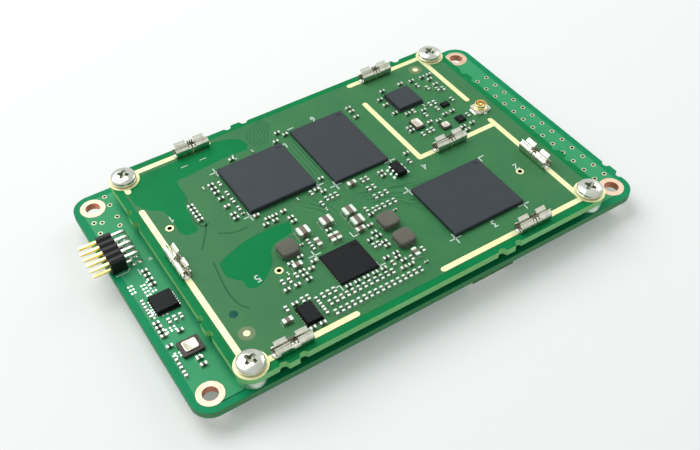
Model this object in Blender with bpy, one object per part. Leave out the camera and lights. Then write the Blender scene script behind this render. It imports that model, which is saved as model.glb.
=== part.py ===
"""A system on module, screwed down on four threaded spacers over its slightly longer carrier board.

Run it in Blender's text editor, or with blender --background --python part.py.
Lengths are in metres. X runs along the boards, the pin header points to -X, and -Y is the front edge.
The origin is on the resting plane, under the middle of the whole stack's box.
"""

import math

import bmesh
import bpy

MM = 0.001

# Heights of the stack, from the resting plane up.
underside_height = 2.6 * MM
carrier_thickness = 1.2 * MM
stack_gap = 1.5 * MM
module_thickness = 1.2 * MM
seat = 0.03 * MM
overlap = 0.1 * MM

# Sides of round shapes.
round_sides = 16
small_round_sides = 10
via_sides = 6
spacer_sides = 12

# Carrier board.
carrier_hole_pitch_x = 71.5 * MM
carrier_hole_pitch_y = 40.9 * MM
carrier_hole_margin = 3.0 * MM
carrier_hole_radius = 1.15 * MM
carrier_ring_radius = 2.0 * MM
carrier_offset_y = 0.1 * MM
via_radius = 0.3 * MM
via_columns_x = (34.85 * MM, 36.9 * MM)
via_first_y = -17.5 * MM
via_pitch = 2.54 * MM
via_rows = 13

# Module board.
screw_pitch_x = 59.5 * MM
screw_pitch_y = 42.0 * MM
module_margin = 2.3 * MM
land_height = 0.05 * MM
land_ring_radius = 2.2 * MM
strip_width = 1.1 * MM
strip_outset = 0.55 * MM
strip_inset_right = 2.0 * MM
inner_strip_x = 12.4 * MM
inner_strip_top = 16.3 * MM
middle_strip_y = -0.3 * MM
test_hole_radius = 0.35 * MM
test_ring_radius = 0.65 * MM

# What is left of the tabs that held each board in its panel.
stub_width = 1.9 * MM
stub_height = 0.32 * MM
bite_width = 1.2 * MM
bite_depth = 0.42 * MM
stub_corner = 0.15 * MM

# Screws and the spacers that they go into.
screw_radius = 0.95 * MM
screw_end_gap = 0.3 * MM
head_radius = 2.0 * MM
head_height = 1.35 * MM
recess_reach = 1.05 * MM
recess_width = 0.42 * MM
recess_depth = 0.75 * MM
screw_clearance = 0.08 * MM
spacer_radius = 2.2 * MM
spacer_boss_radius = 1.45 * MM
spacer_boss_depth = 0.9 * MM
boss_clearance = 0.1 * MM

# Shield clip, a folded spring strip: half width and height of its arms' bends.
clip_length = 6.0 * MM
clip_base_half = 0.7 * MM
clip_sheet = 0.14 * MM
clip_end_tab = 0.45 * MM
clip_arm_gap = 0.3 * MM
clip_finger_length = 1.0 * MM
clip_pinch = 0.16 * MM
clip_pinch_height = 0.95 * MM
clip_lip = 1.05 * MM
clip_height = 2.0 * MM
clip_bulge_height = 0.45 * MM

# Right-angle pin header, two rows at half the usual pitch.
header_columns = 5
header_pitch = 1.27 * MM
header_body_depth = 2.4 * MM
header_body_height = 2.6 * MM
header_notch = 0.3 * MM
header_setback = 0.3 * MM
header_centre_y = 8.95 * MM
header_row_height = 0.7 * MM
pin_width = 0.4 * MM
pin_reach = 2.55 * MM
pin_taper = 0.25 * MM
pin_clearance = 0.05 * MM
pin_leg_below = 0.7 * MM
pin_upper_tail = 2.1 * MM
pin_lower_tail = 1.05 * MM
pin_hole_radius = 0.4 * MM

# Miniature coaxial connector.
coax_x = 28.1 * MM
coax_y = 4.1 * MM
coax_base_side = 2.6 * MM
coax_base_height = 0.4 * MM
coax_shell_radius = 1.0 * MM
coax_shell_wall = 0.16 * MM
coax_height = 1.25 * MM
coax_pin_radius = 0.22 * MM
coax_groove = 0.1 * MM

# Small port under the carrier's front edge: only the lip of its top wall reaches past the edge.
port_x = 9.35 * MM
port_width = 6.9 * MM
port_height = 2.1 * MM
port_depth = 5.2 * MM
port_setback = 1.5 * MM
port_wall = 0.28 * MM
port_chamfer = 0.7 * MM
port_lip_width = 7.6 * MM
port_lip_thickness = 0.2 * MM
port_overhang = 0.22 * MM
tongue_thickness = 0.6 * MM
tongue_margin = 0.8 * MM

# Connectors between the boards and, larger, under the carrier.
link_x = 20.0 * MM
link_length = 20.0 * MM
link_width = 4.0 * MM
link_wall = 0.7 * MM
link_socket_height = 1.05 * MM
link_floor = 0.3 * MM
link_fit = 0.12 * MM
link_tip_gap = 0.1 * MM
host_x = 24.0 * MM
host_length = 24.0 * MM
host_width = 5.4 * MM
host_wall = 0.8 * MM
host_floor = 0.7 * MM
host_rib_width = 1.4 * MM
host_rib_drop = 0.3 * MM

# Moulded coils and chip coils round the power chip.
coil_side = 3.0 * MM
coil_height = 1.2 * MM
coil_corner = 0.55 * MM
coil_flange_height = 0.3 * MM
coil_flange = 0.1 * MM
chip_coil_length = 2.0 * MM
chip_coil_width = 1.7 * MM
chip_coil_height = 1.0 * MM
chip_coil_cap = 0.42 * MM
chip_coil_step = 0.05 * MM

# Moulded packages.
package_bevel = 0.12 * MM
dimple_radius = 0.45 * MM
dimple_depth = 0.06 * MM
dimple_inset = 1.1 * MM
can_rim = 0.16 * MM
wide_can_rim = 0.5 * MM
can_lid = 0.2 * MM
lead_width = 0.4 * MM
lead_pitch = 0.95 * MM
lead_thickness = 0.15 * MM
lead_reach = 0.55 * MM
lead_foot = 0.35 * MM

# Chip capacitors and resistors that are soldered flat: length, width and height.
chip_sizes = {
    "medium": (1.0 * MM, 0.5 * MM, 0.45 * MM),
    "large": (1.6 * MM, 0.8 * MM, 0.7 * MM),
}

# Levels and half sizes that follow from the values above.
carrier_top = underside_height + carrier_thickness
module_bottom = carrier_top + stack_gap
module_top = module_bottom + module_thickness
screw_x = screw_pitch_x / 2
screw_y = screw_pitch_y / 2
module_half_x = screw_x + module_margin
module_half_y = screw_y + module_margin
carrier_hole_x = carrier_hole_pitch_x / 2
carrier_hole_y = carrier_hole_pitch_y / 2
carrier_half_x = carrier_hole_x + carrier_hole_margin
carrier_half_y = carrier_hole_y + carrier_hole_margin
carrier_front_y = carrier_offset_y - carrier_half_y
carrier_back_y = carrier_offset_y + carrier_half_y
outer_strip_y = screw_y + strip_outset
left_strip_x = -(screw_x + strip_outset)
right_strip_x = screw_x - strip_inset_right

# Places on the module, from its centre: x, y, length along X, width along Y, height.
packages = {
    "processor_chip": (-10.85, 8.75, 11.7, 11.2, 0.9),
    "memory_chip": (2.7, 9.05, 10.0, 14.5, 0.65),
    "storage_chip": (13.0, -11.7, 13.0, 11.5, 0.75),
    "power_chip": (-9.4, -13.05, 6.4, 6.2, 0.5),
}
flat_packages = {
    "radio_chip": (18.55, 13.2, 5.0, 5.0, 0.8),
    "regulator_chip": (-19.05, -18.08, 2.65, 3.6, 0.75),
    "amplifier_chip": (23.6, 3.7, 1.5, 1.5, 0.5),
    "switch_chip": (23.7, 8.2, 1.5, 1.1, 0.5),
}
cans = {
    "radio_crystal": (16.65, 6.5, 1.7, 2.5, 0.7),
    "radio_filter": (20.45, 3.65, 1.6, 1.6, 0.6),
}
carrier_chip_place = (-34.4, -3.1, 3.6, 3.6, 0.85)
carrier_crystal_place = (-34.6, -12.2, 3.2, 2.8, 0.8)
logic_chip_place = (7.55, -1.0, 1.6, 2.9, 1.05)
coil_places = {"coil_1": (-15.7, -6.4), "coil_2": (-0.2, -9.6), "coil_3": (-0.2, -13.8)}
chip_coil_places = {
    "chip_coil_1": (-12.0, -4.55),
    "chip_coil_2": (-8.0, -4.55),
    "chip_coil_3": (-4.0, -4.7),
    "chip_coil_4": (-4.0, -7.05),
}
clip_places = {
    "shield_clip_back_left": (-17.7 * MM, outer_strip_y, 0.0),
    "shield_clip_back_right": (18.2 * MM, outer_strip_y, 0.0),
    "shield_clip_middle": (18.3 * MM, middle_strip_y, 0.0),
    "shield_clip_right": (right_strip_x, -10.4 * MM, -math.pi / 2),
    "shield_clip_front_right": (17.85 * MM, -outer_strip_y, 0.0),
    "shield_clip_front_left": (-23.65 * MM, -outer_strip_y, 0.0),
    "shield_clip_left": (left_strip_x, 0.0, -math.pi / 2),
}
test_holes = ((-28.2, 7.4), (23.7, -11.65), (-18.6, -8.85))
loose_vias = ((-33.2, 22.0), (-33.2, 19.8), (-33.2, 16.8), (-33.6, 14.8), (-36.8, 14.8),
              (-36.8, 17.4), (-35.7, 16.8))

# Break-off stubs: where each lies along its edge.
module_stubs = {"front": (-24.6, 12.2), "right": (-12.0, 12.4), "back": (-8.7, 22.4),
                "left": (-12.0, 12.4)}
carrier_stubs = {"right": (-17.4,)}

# Rows of soldered chips on the module: size, long axis, first x, y, step x, y, count.
module_rows = (
    ("medium", "x", -18.9, 12.2, 0, -1.02, 3), ("medium", "x", -18.9, 8.65, 0, -2.0, 2),
    ("medium", "x", -18.9, 4.6, 0, -0.95, 2), ("medium", "y", -17.6, 11.65, 0, -2.6, 2),
    ("medium", "y", -17.6, 7.2, 0, -2.0, 2), ("medium", "x", -13.4, 15.75, 0, 0, 1),
    ("medium", "x", -5.3, 15.6, 0, 0, 1), ("medium", "x", -4.05, 17.4, 0, 0, 1),
    ("medium", "x", -3.1, 16.35, 0, 0, 1), ("medium", "x", -16.1, 2.45, 0, 0, 1),
    ("medium", "x", -15.0, 0.95, 1.2, 0, 2), ("medium", "x", -15.8, 0.0, 1.6, 0, 2),
    ("medium", "x", -12.25, 1.0, 0, 0, 1), ("medium", "x", -11.95, -0.75, 0, -0.95, 2),
    ("medium", "y", -6.65, 2.0, 0, 0, 1), ("medium", "x", -5.55, 2.3, 0, 0, 1),
    ("medium", "x", -4.85, 1.35, 0, 0, 1), ("medium", "y", -5.3, -0.35, 0.87, 0, 3),
    ("medium", "y", -6.45, -0.85, 0, 0, 1), ("medium", "x", -3.7, 4.05, 0, 0, 1),
    ("large", "x", -0.3, 0.35, 0, 0, 1), ("medium", "y", 1.5, 0.05, 0.85, 0, 2),
    ("medium", "y", 1.33, -2.05, 0.95, 0, 2), ("medium", "y", 1.23, -4.1, 1.0, 0, 3),
    ("medium", "y", 1.2, -6.35, 1.0, 0, 3), ("medium", "y", -1.5, -5.65, 0, 0, 1),
    ("medium", "x", -1.45, -6.85, 0, 0, 1), ("medium", "y", -0.5, -6.3, 0.75, 0, 2),
    ("medium", "x", 4.95, 0.15, 0, -0.9, 2), ("medium", "x", 10.95, 1.6, 0, 0, 1),
    ("medium", "y", 10.3, -0.35, 0, 0, 1), ("medium", "x", 9.3, 16.4, 0, -1.1, 2),
    ("medium", "x", 9.2, 13.7, 0, 0, 1), ("medium", "y", -12.3, -6.55, 0, -1.35, 2),
    ("large", "y", -11.2, -7.5, 0, 0, 1), ("medium", "x", -8.55, -6.1, 0, 0, 1),
    ("large", "y", -9.05, -7.95, 0.98, 0, 2), ("large", "x", -4.5, -8.65, 0, 0, 1),
    ("medium", "x", -2.85, -8.65, 0, 0, 1), ("medium", "x", -3.15, -10.2, 0, 0, 1),
    ("medium", "x", -4.45, -11.15, 1.5, 0, 2), ("medium", "y", -4.6, -12.5, 0.75, 0, 2),
    ("medium", "x", -2.95, -12.6, 0, -0.85, 2), ("medium", "x", -4.45, -15.35, 1.65, 0, 2),
    ("medium", "x", -3.0, -16.15, 0, 0, 1), ("medium", "y", -4.2, -16.8, 0, 0, 1),
    ("medium", "x", -2.6, -17.1, 0, 0, 1), ("medium", "y", -1.35, -17.4, 0, 0, 1),
    ("large", "y", -0.3, -16.9, 0, 0, 1), ("medium", "y", 0.95, -16.9, 0, 0, 1),
    ("medium", "y", -15.6, -18.05, 0.95, 0, 12), ("medium", "y", -15.8, -19.9, 0.95, 0, 16),
    ("medium", "x", -3.4, -18.3, 1.3, 0, 2), ("medium", "y", -15.85, -16.4, 0.95, 0, 3),
    ("medium", "y", -16.9, -16.6, 0, -1.2, 3), ("medium", "x", -11.9, -16.85, 1.5, 0, 5),
    ("medium", "x", -16.6, -8.75, 0, 0, 1), ("medium", "x", -14.8, -8.4, 0, 0, 1),
    ("large", "x", -16.0, -9.65, 0, 0, 1), ("medium", "x", -15.95, -10.9, 0, -0.85, 2),
    ("medium", "y", -17.1, -11.2, 0, 0, 1), ("medium", "y", -18.35, -11.55, 0, 0, 1),
    ("medium", "y", -19.35, -11.3, 0, 0, 1), ("medium", "x", -19.5, -12.75, 1.7, 0, 2),
    ("medium", "x", -15.9, -12.75, 0, 0, 1), ("medium", "x", -19.85, -15.5, 0, 0, 1),
    ("medium", "y", -18.6, -15.55, 0.85, 0, 2), ("large", "x", -22.2, -17.6, 0, 0, 1),
    ("medium", "y", -21.3, -15.7, 0, 0, 1), ("medium", "x", -19.9, -20.45, 1.6, 0, 2),
    ("medium", "x", 16.7, 17.0, 3.8, 0, 2), ("medium", "x", 22.6, 16.6, 0, 0, 1),
    ("medium", "x", 24.8, 16.5, 1.45, 0, 2), ("medium", "x", 25.6, 15.3, 0, -1.7, 2),
    ("medium", "y", 22.75, 14.9, 0, 0, 1), ("medium", "y", 23.85, 13.4, 0, 0, 1),
    ("medium", "y", 25.1, 12.2, 0.9, -0.4, 2), ("medium", "x", 15.1, 15.3, 0, -1.7, 2),
    ("medium", "x", 15.2, 10.9, 0, 0, 1), ("medium", "x", 16.9, 9.6, 0, 0, 1),
    ("medium", "y", 18.15, 9.5, 0, 0, 1), ("medium", "x", 19.7, 8.9, 0, 0, 1),
    ("medium", "y", 21.5, 9.5, 0.95, 0, 2), ("medium", "x", 15.0, 6.5, 0, -0.85, 2),
    ("medium", "y", 19.3, 7.6, 0, 0, 1), ("medium", "x", 18.75, 5.8, 0, 0, 1),
    ("medium", "x", 22.1, 6.1, 1.5, 0, 2), ("medium", "y", 16.0, 3.8, 0, 0, 1),
    ("medium", "y", 17.2, 3.95, 0.8, 0, 2), ("medium", "x", 20.2, 5.3, 0, 0, 1),
    ("medium", "x", 22.7, 1.8, 1.85, 0, 2), ("medium", "y", 25.2, 3.8, 0, 0, 1),
)
carrier_rows = (
    ("medium", "x", -34.3, 3.9, 0, -1.0, 4), ("medium", "y", -37.0, -1.6, 0, -1.3, 3),
    ("medium", "x", -36.9, -6.0, 0, -0.85, 4), ("medium", "y", -35.2, -6.6, 0.9, 0, 3),
    ("medium", "x", -34.6, -8.9, 0, 0, 1), ("medium", "x", -37.0, -10.6, 0, 0, 1),
    ("medium", "y", -37.2, -12.9, 0, -1.5, 3), ("medium", "x", -34.4, -14.6, 0, -1.2, 2),
)

corners = (("front_left", -1, -1), ("front_right", 1, -1), ("back_left", -1, 1),
           ("back_right", 1, 1))


def clear_scene():
    for obj in list(bpy.data.objects):
        bpy.data.objects.remove(obj, do_unlink=True)


def material(name, colour, roughness, metallic=0.0):
    """A plain Principled material of this colour, made once."""
    found = bpy.data.materials.get(name)
    if found:
        return found
    made = bpy.data.materials.new(name)
    made.use_nodes = True
    shader = made.node_tree.nodes["Principled BSDF"]
    shader.inputs["Base Color"].default_value = (*colour, 1.0)
    shader.inputs["Roughness"].default_value = roughness
    shader.inputs["Metallic"].default_value = metallic
    made.diffuse_color = (*colour, 1.0)
    return made


def green_mask():
    return material("green_solder_mask", (0.05, 0.27, 0.12), 0.4)


def black_mould():
    return material("black_mould_compound", (0.05, 0.055, 0.065), 0.5)


def black_plastic():
    return material("black_plastic", (0.01, 0.01, 0.012), 0.45)


def pale_plastic():
    return material("pale_plastic", (0.75, 0.73, 0.66), 0.5)


def gold_plate():
    return material("gold_plate", (0.83, 0.62, 0.25), 0.3, 1.0)


def tin_plate():
    return material("tin_plate", (0.8, 0.8, 0.78), 0.3, 1.0)


def steel():
    return material("plated_steel", (0.72, 0.72, 0.7), 0.28, 1.0)


def ferrite():
    return material("grey_ferrite", (0.2, 0.18, 0.17), 0.6)


def empty(name, z=0.0, parent=None, x=0.0, y=0.0):
    obj = bpy.data.objects.new(name, None)
    obj.location = (x, y, z)
    obj.parent = parent
    bpy.context.collection.objects.link(obj)
    return obj


def object_of(name, shape, finish, parent, place=(0.0, 0.0, 0.0), turn=0.0):
    """An object of this bmesh or mesh, with its faces out, standing at place under parent."""
    if isinstance(shape, bmesh.types.BMesh):
        bmesh.ops.recalc_face_normals(shape, faces=shape.faces)
        mesh = bpy.data.meshes.new(name)
        shape.to_mesh(mesh)
        shape.free()
    else:
        mesh = shape
    if finish and not mesh.materials:
        mesh.materials.append(finish)
    obj = bpy.data.objects.new(name, mesh)
    obj.location = place
    obj.rotation_euler = (0.0, 0.0, turn)
    obj.parent = parent
    bpy.context.collection.objects.link(obj)
    return obj


def add_loft(shape, rings, cyclic=False):
    """Adds a closed skin through rings of points, capped at both ends or joined end to end."""
    lines = [[shape.verts.new(point) for point in ring] for ring in rings]
    pairs = list(zip(lines, lines[1:]))
    if cyclic:
        pairs.append((lines[-1], lines[0]))
    else:
        shape.faces.new(lines[0])
        shape.faces.new(lines[-1])
    for low, high in pairs:
        for i in range(len(low)):
            j = (i + 1) % len(low)
            shape.faces.new((low[i], low[j], high[j], high[i]))


def loft(rings, cyclic=False):
    shape = bmesh.new()
    add_loft(shape, rings, cyclic)
    return shape


def circle(radius, z, steps, x=0.0, y=0.0):
    turns = [2 * math.pi * (i + 0.5) / steps for i in range(steps)]
    return [(x + radius * math.cos(a), y + radius * math.sin(a), z) for a in turns]


def rectangle(half_x, half_y, z, x=0.0, y=0.0):
    signs = ((-1, -1), (1, -1), (1, 1), (-1, 1))
    return [(x + sx * half_x, y + sy * half_y, z) for sx, sy in signs]


def rounded(half_x, half_y, radius, z, steps, x=0.0, y=0.0):
    """A rectangle with round corners, each an arc of this many steps; one step cuts it straight."""
    points = []
    for corner, (sx, sy) in enumerate(((-1, -1), (1, -1), (1, 1), (-1, 1))):
        for i in range(steps + 1):
            a = math.pi * (1 + corner / 2 + i / (2 * steps))
            cx = x + sx * (half_x - radius)
            cy = y + sy * (half_y - radius)
            points.append((cx + radius * math.cos(a), cy + radius * math.sin(a), z))
    return points


def add_box(shape, x, y, half_x, half_y, low, high):
    add_loft(shape, [rectangle(half_x, half_y, low, x, y), rectangle(half_x, half_y, high, x, y)])


def helper(target, name, shape):
    """A hidden solid in the target's own frame, for a Boolean."""
    obj = object_of(name, shape, None, target.parent, target.location)
    obj.hide_render = True
    obj.display_type = "WIRE"
    return obj


def boolean(target, name, shape, operation):
    step = target.modifiers.new(name, "BOOLEAN")
    step.operation = operation
    step.solver = "EXACT"
    step.object = helper(target, name, shape)


def applied_mesh(obj):
    """The object's mesh with its modifiers applied, and the object and its helpers removed."""
    graph = bpy.context.evaluated_depsgraph_get()
    mesh = bpy.data.meshes.new_from_object(obj.evaluated_get(graph))
    helpers = [step.object for step in obj.modifiers if step.type == "BOOLEAN"]
    for used in [*helpers, obj]:
        bpy.data.objects.remove(used, do_unlink=True)
    return mesh


def stub_points():
    """Half-round bites either side of a short stub, as distances along and out of an edge."""
    points = []
    for side in (-1, 1):
        bite = side * (stub_width + bite_width) / 2
        arc = []
        for i in range(4):
            a = math.pi * (1 - i / 3)
            arc.append((bite + bite_width / 2 * math.cos(a), -bite_depth * math.sin(a)))
        tip = (side * (stub_width / 2 - stub_corner), stub_height)
        points += arc + [tip] if side < 0 else [tip] + arc
    return points


def board_outline(half_x, half_y, radius, stubs, corner_steps=4):
    """Counter-clockwise outline with round corners, and stubs named by the edge that they are on."""
    edges = (
        ("front", (1, 0), (0, -1), half_y, (-1, -1)),
        ("right", (0, 1), (1, 0), half_x, (1, -1)),
        ("back", (-1, 0), (0, 1), half_y, (1, 1)),
        ("left", (0, -1), (-1, 0), half_x, (-1, 1)),
    )
    points = []
    for index, (name, along, out, reach, corner) in enumerate(edges):
        for i in range(corner_steps + 1):
            a = math.pi * (1 + index / 2 + i / (2 * corner_steps))
            x = corner[0] * (half_x - radius) + radius * math.cos(a)
            y = corner[1] * (half_y - radius) + radius * math.sin(a)
            points.append((x, y))
        direction = along[0] + along[1]
        for centre in sorted(stubs.get(name, ()), key=lambda place: place * direction):
            for forward, outward in stub_points():
                s = centre * MM * direction + forward
                d = reach + outward
                points.append((along[0] * s + out[0] * d, along[1] * s + out[1] * d))
    return points


def board_solid(outline, thickness):
    low = [(x, y, -thickness) for x, y in outline]
    high = [(x, y, 0.0) for x, y in outline]
    return loft([low, high])


def row_places(rows):
    """Each soldered chip of these rows: x, y, half length along X, half width along Y, height."""
    for size, axis, x, y, step_x, step_y, count in rows:
        length, width, height = chip_sizes[size]
        half_x, half_y = (length / 2, width / 2) if axis == "x" else (width / 2, length / 2)
        for i in range(count):
            yield (x + i * step_x) * MM, (y + i * step_y) * MM, half_x, half_y, height


def soldered_chips(rows):
    shape = bmesh.new()
    for x, y, half_x, half_y, height in row_places(rows):
        add_box(shape, x, y, half_x, half_y, -overlap, height)
    return shape


def drill(holes, thickness):
    """Pins through a board for all its holes: x, y, radius and number of sides."""
    shape = bmesh.new()
    for x, y, radius, sides in holes:
        low = circle(radius, -thickness - overlap, sides, x, y)
        high = circle(radius, overlap, sides, x, y)
        add_loft(shape, [low, high])
    return shape


def header_leg_places():
    """Where the header's legs go through the carrier: column, row, x and y."""
    back_x = -carrier_half_x + header_setback + header_body_depth
    for column in range(header_columns):
        y = header_centre_y + (column - (header_columns - 1) / 2) * header_pitch
        yield column, "upper", back_x + pin_upper_tail, y
        yield column, "lower", back_x + pin_lower_tail, y


def make_carrier(level):
    outline = board_outline(carrier_half_x, carrier_half_y, carrier_hole_margin, carrier_stubs)
    outline = [(x, y + carrier_offset_y) for x, y in outline]
    board = object_of("carrier_board", board_solid(outline, carrier_thickness), green_mask(), level)
    rings = bmesh.new()
    holes = []
    for _, sx, sy in corners:
        x, y = sx * carrier_hole_x, sy * carrier_hole_y + carrier_offset_y
        ends = (-overlap, land_height)
        add_loft(rings, [circle(carrier_ring_radius, z, round_sides, x, y) for z in ends])
        holes.append((x, y, carrier_hole_radius, round_sides))
        boss_hole = spacer_boss_radius + boss_clearance
        holes.append((sx * screw_x, sy * screw_y, boss_hole, spacer_sides))
    for x in via_columns_x:
        rows = [via_first_y + i * via_pitch for i in range(via_rows)]
        holes += [(x, y, via_radius, via_sides) for y in rows]
    holes += [(x * MM, y * MM, via_radius, via_sides) for x, y in loose_vias]
    holes += [(x, y, pin_hole_radius, via_sides) for _, _, x, y in header_leg_places()]
    boolean(board, "carrier_lands", rings, "UNION")
    boolean(board, "carrier_chips", soldered_chips(carrier_rows), "UNION")
    boolean(board, "carrier_holes", drill(holes, carrier_thickness), "DIFFERENCE")


def strip_ends():
    """The bare shield-ground strips on the module, each from one end of its centre line to the other."""
    back, front = outer_strip_y, -outer_strip_y
    left, right = left_strip_x, right_strip_x
    return (
        ((-screw_x, back), (-14.8 * MM, back)),
        ((inner_strip_x + strip_width / 2, back), (screw_x, back)),
        ((left, 12.8 * MM), (left, -screw_y)),
        ((left, screw_y), (left, screw_y - 3.0 * MM)),
        ((-screw_x, front), (-13.55 * MM, front)),
        ((1.35 * MM, front), (screw_x, front)),
        ((right, -screw_y), (right, 0.85 * MM)),
        ((right, 7.3 * MM), (right, screw_y)),
        ((inner_strip_x, middle_strip_y), (right, middle_strip_y)),
        ((inner_strip_x, middle_strip_y), (inner_strip_x, inner_strip_top - strip_width / 2)),
    )


def strip_outline(start, end, z, steps=3):
    """A straight strip with round ends, on its centre line from start to end."""
    turn = math.atan2(end[1] - start[1], end[0] - start[0])
    points = []
    for centre, first in ((end, turn - math.pi / 2), (start, turn + math.pi / 2)):
        for i in range(steps + 1):
            a = first + math.pi * i / steps
            x = centre[0] + strip_width / 2 * math.cos(a)
            points.append((x, centre[1] + strip_width / 2 * math.sin(a), z))
    return points


def module_lands(board):
    """Fuses the bare strips and the rings round the screws and test holes to the board."""
    for number, (start, end) in enumerate(strip_ends(), 1):
        rings = [strip_outline(start, end, z) for z in (-overlap, land_height)]
        boolean(board, f"shield_strip_{number}", loft(rings), "UNION")
    rounds = bmesh.new()
    spots = [(sx * screw_x, sy * screw_y, land_ring_radius, round_sides) for _, sx, sy in corners]
    spots += [(x * MM, y * MM, test_ring_radius, small_round_sides) for x, y in test_holes]
    for x, y, radius, sides in spots:
        add_loft(rounds, [circle(radius, z, sides, x, y) for z in (-overlap, land_height)])
    boolean(board, "round_lands", rounds, "UNION")


def make_module(level):
    outline = board_outline(module_half_x, module_half_y, module_margin, module_stubs)
    board = object_of("module_board", board_solid(outline, module_thickness), green_mask(), level)
    module_lands(board)
    boolean(board, "module_chips", soldered_chips(module_rows), "UNION")
    hole_radius = screw_radius + screw_clearance
    holes = [(sx * screw_x, sy * screw_y, hole_radius, round_sides) for _, sx, sy in corners]
    holes += [(x * MM, y * MM, test_hole_radius, small_round_sides) for x, y in test_holes]
    boolean(board, "module_holes", drill(holes, module_thickness + land_height), "DIFFERENCE")


def cross_outline(reach, width, z):
    """A plus sign of four arms."""
    w = width / 2
    quarter = ((reach, -w), (reach, w), (w, w))
    points = []
    for turn in range(4):
        c, s = round(math.cos(turn * math.pi / 2)), round(math.sin(turn * math.pi / 2))
        points += [(x * c - y * s, x * s + y * c, z) for x, y in quarter]
    return points


def screw_mesh():
    """A pan-head screw with a cross recess; its seat is at z = 0 and its shank points down."""
    length = module_thickness + land_height + stack_gap - screw_end_gap
    profile = (
        (screw_radius, -length), (screw_radius, 0.0), (head_radius, 0.0), (head_radius, head_height * 0.55),
        (head_radius * 0.82, head_height * 0.84), (head_radius * 0.55, head_height),
    )
    shape = loft([circle(radius, z, round_sides) for radius, z in profile])
    screw = object_of("screw_blank", shape, steel(), None)
    sections = (
        (recess_reach * 0.45, recess_width * 0.7, head_height - recess_depth),
        (recess_reach, recess_width, head_height),
        (recess_reach * 1.1, recess_width * 1.1, head_height + overlap),
    )
    recess = loft([cross_outline(*section) for section in sections])
    boolean(screw, "cross_recess", recess, "DIFFERENCE")
    return applied_mesh(screw)


def spacer_mesh():
    """A round threaded spacer; z = 0 is the carrier's top, and its boss stands in the carrier."""
    bore = screw_radius + screw_clearance
    top = stack_gap - seat
    profile = (
        (bore, -spacer_boss_depth), (spacer_boss_radius, -spacer_boss_depth),
        (spacer_boss_radius, seat), (spacer_radius, seat), (spacer_radius, top), (bore, top),
    )
    rings = [circle(radius, z, spacer_sides) for radius, z in profile]
    return applied_mesh(object_of("spacer_blank", loft(rings, True), tin_plate(), None))


def make_fasteners(carrier_level, module_level):
    screw = screw_mesh()
    spacer = spacer_mesh()
    for name, sx, sy in corners:
        x, y = sx * screw_x, sy * screw_y
        object_of(f"screw_{name}", screw, None, module_level, (x, y, land_height + seat))
        object_of(f"spacer_{name}", spacer, None, carrier_level, (x, y, 0.0))


def arm_section(side):
    """The bent strip of one spring arm, seen along the clip: outer line up, inner line down."""
    t = clip_sheet
    foot = clip_base_half
    bends = (
        (foot, 0.0), (foot + t * 0.3, clip_bulge_height), (clip_pinch + t, clip_pinch_height),
        (clip_lip, clip_height - t * 0.6),
    )
    inner = (
        (clip_lip - t * 0.6, clip_height), (clip_pinch, clip_pinch_height),
        (foot - t * 0.8, clip_bulge_height), (foot - t, 0.0),
    )
    return [(side * across, up) for across, up in bends + inner]


def clip_mesh():
    """A shield clip along X: a trough with two pairs of spring arms and a middle finger behind."""
    blank = loft([rectangle(clip_length / 2, clip_base_half, z) for z in (0.0, clip_sheet)])
    clip = object_of("clip_blank", blank, steel(), None)
    arm_start = clip_length / 2 - clip_end_tab
    arm_end = clip_finger_length / 2 + clip_arm_gap
    spans = [(1, -clip_finger_length / 2, clip_finger_length / 2)]
    walls = bmesh.new()
    for side in (-1, 1):
        spans += [(side, -arm_start, -arm_end), (side, arm_end, arm_start)]
        low, high = arm_section(side)[:2], arm_section(side)[-2:]
        add_loft(walls, [[(x, across, up) for across, up in low + high]
                         for x in (-arm_start, arm_start)])
    arms = bmesh.new()
    for side, start, end in spans:
        section = arm_section(side)
        add_loft(arms, [[(x, across, up) for across, up in section] for x in (start, end)])
    boolean(clip, "clip_walls", walls, "UNION")
    boolean(clip, "clip_arms", arms, "UNION")
    return applied_mesh(clip)


def make_clips(level):
    clip = clip_mesh()
    z = land_height + seat
    for name, (x, y, turn) in clip_places.items():
        object_of(name, clip, None, level, (x, y, z), turn)


def package_place(place):
    x, y, length, width, height = (value * MM for value in place)
    return (x, y, seat), length / 2, width / 2, height - seat


def make_packages(level):
    """Large moulded packages, each with a round dimple that marks its first contact."""
    for name, place in packages.items():
        at, half_x, half_y, height = package_place(place)
        sections = ((0.0, 0.0), (0.0, height - package_bevel), (package_bevel, height))
        shape = loft([rectangle(half_x - inset, half_y - inset, z) for inset, z in sections])
        chip = object_of(name, shape, black_mould(), level, at)
        x, y = half_x - dimple_inset, half_y - dimple_inset
        ends = (height - dimple_depth, height + overlap)
        dimple = loft([circle(dimple_radius, z, small_round_sides, x, y) for z in ends])
        boolean(chip, name + "_dimple", dimple, "DIFFERENCE")


def flat_package(name, place, level):
    """A small flat package: a square foot and a body that draws in towards its top."""
    at, half_x, half_y, height = package_place(place)
    foot = height * 0.3
    draft = height * 0.12
    sections = ((0.0, 0.0), (0.0, foot), (draft, foot), (2 * draft, height))
    rings = [rectangle(half_x - inset, half_y - inset, z) for inset, z in sections]
    object_of(name, loft(rings), black_mould(), level, at)


def metal_can(name, place, level, rim=can_rim):
    """A ceramic base with a thin metal lid that is set in from its edge by the rim."""
    at, half_x, half_y, height = package_place(place)
    lid = height - can_lid
    sections = ((0.0, 0.0), (0.0, lid), (rim, lid), (rim, height))
    rings = []
    for inset, z in sections:
        rings.append(rounded(half_x - inset, half_y - inset, 2 * can_rim, z, 1))
    object_of(name, loft(rings), tin_plate(), level, at)


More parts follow.
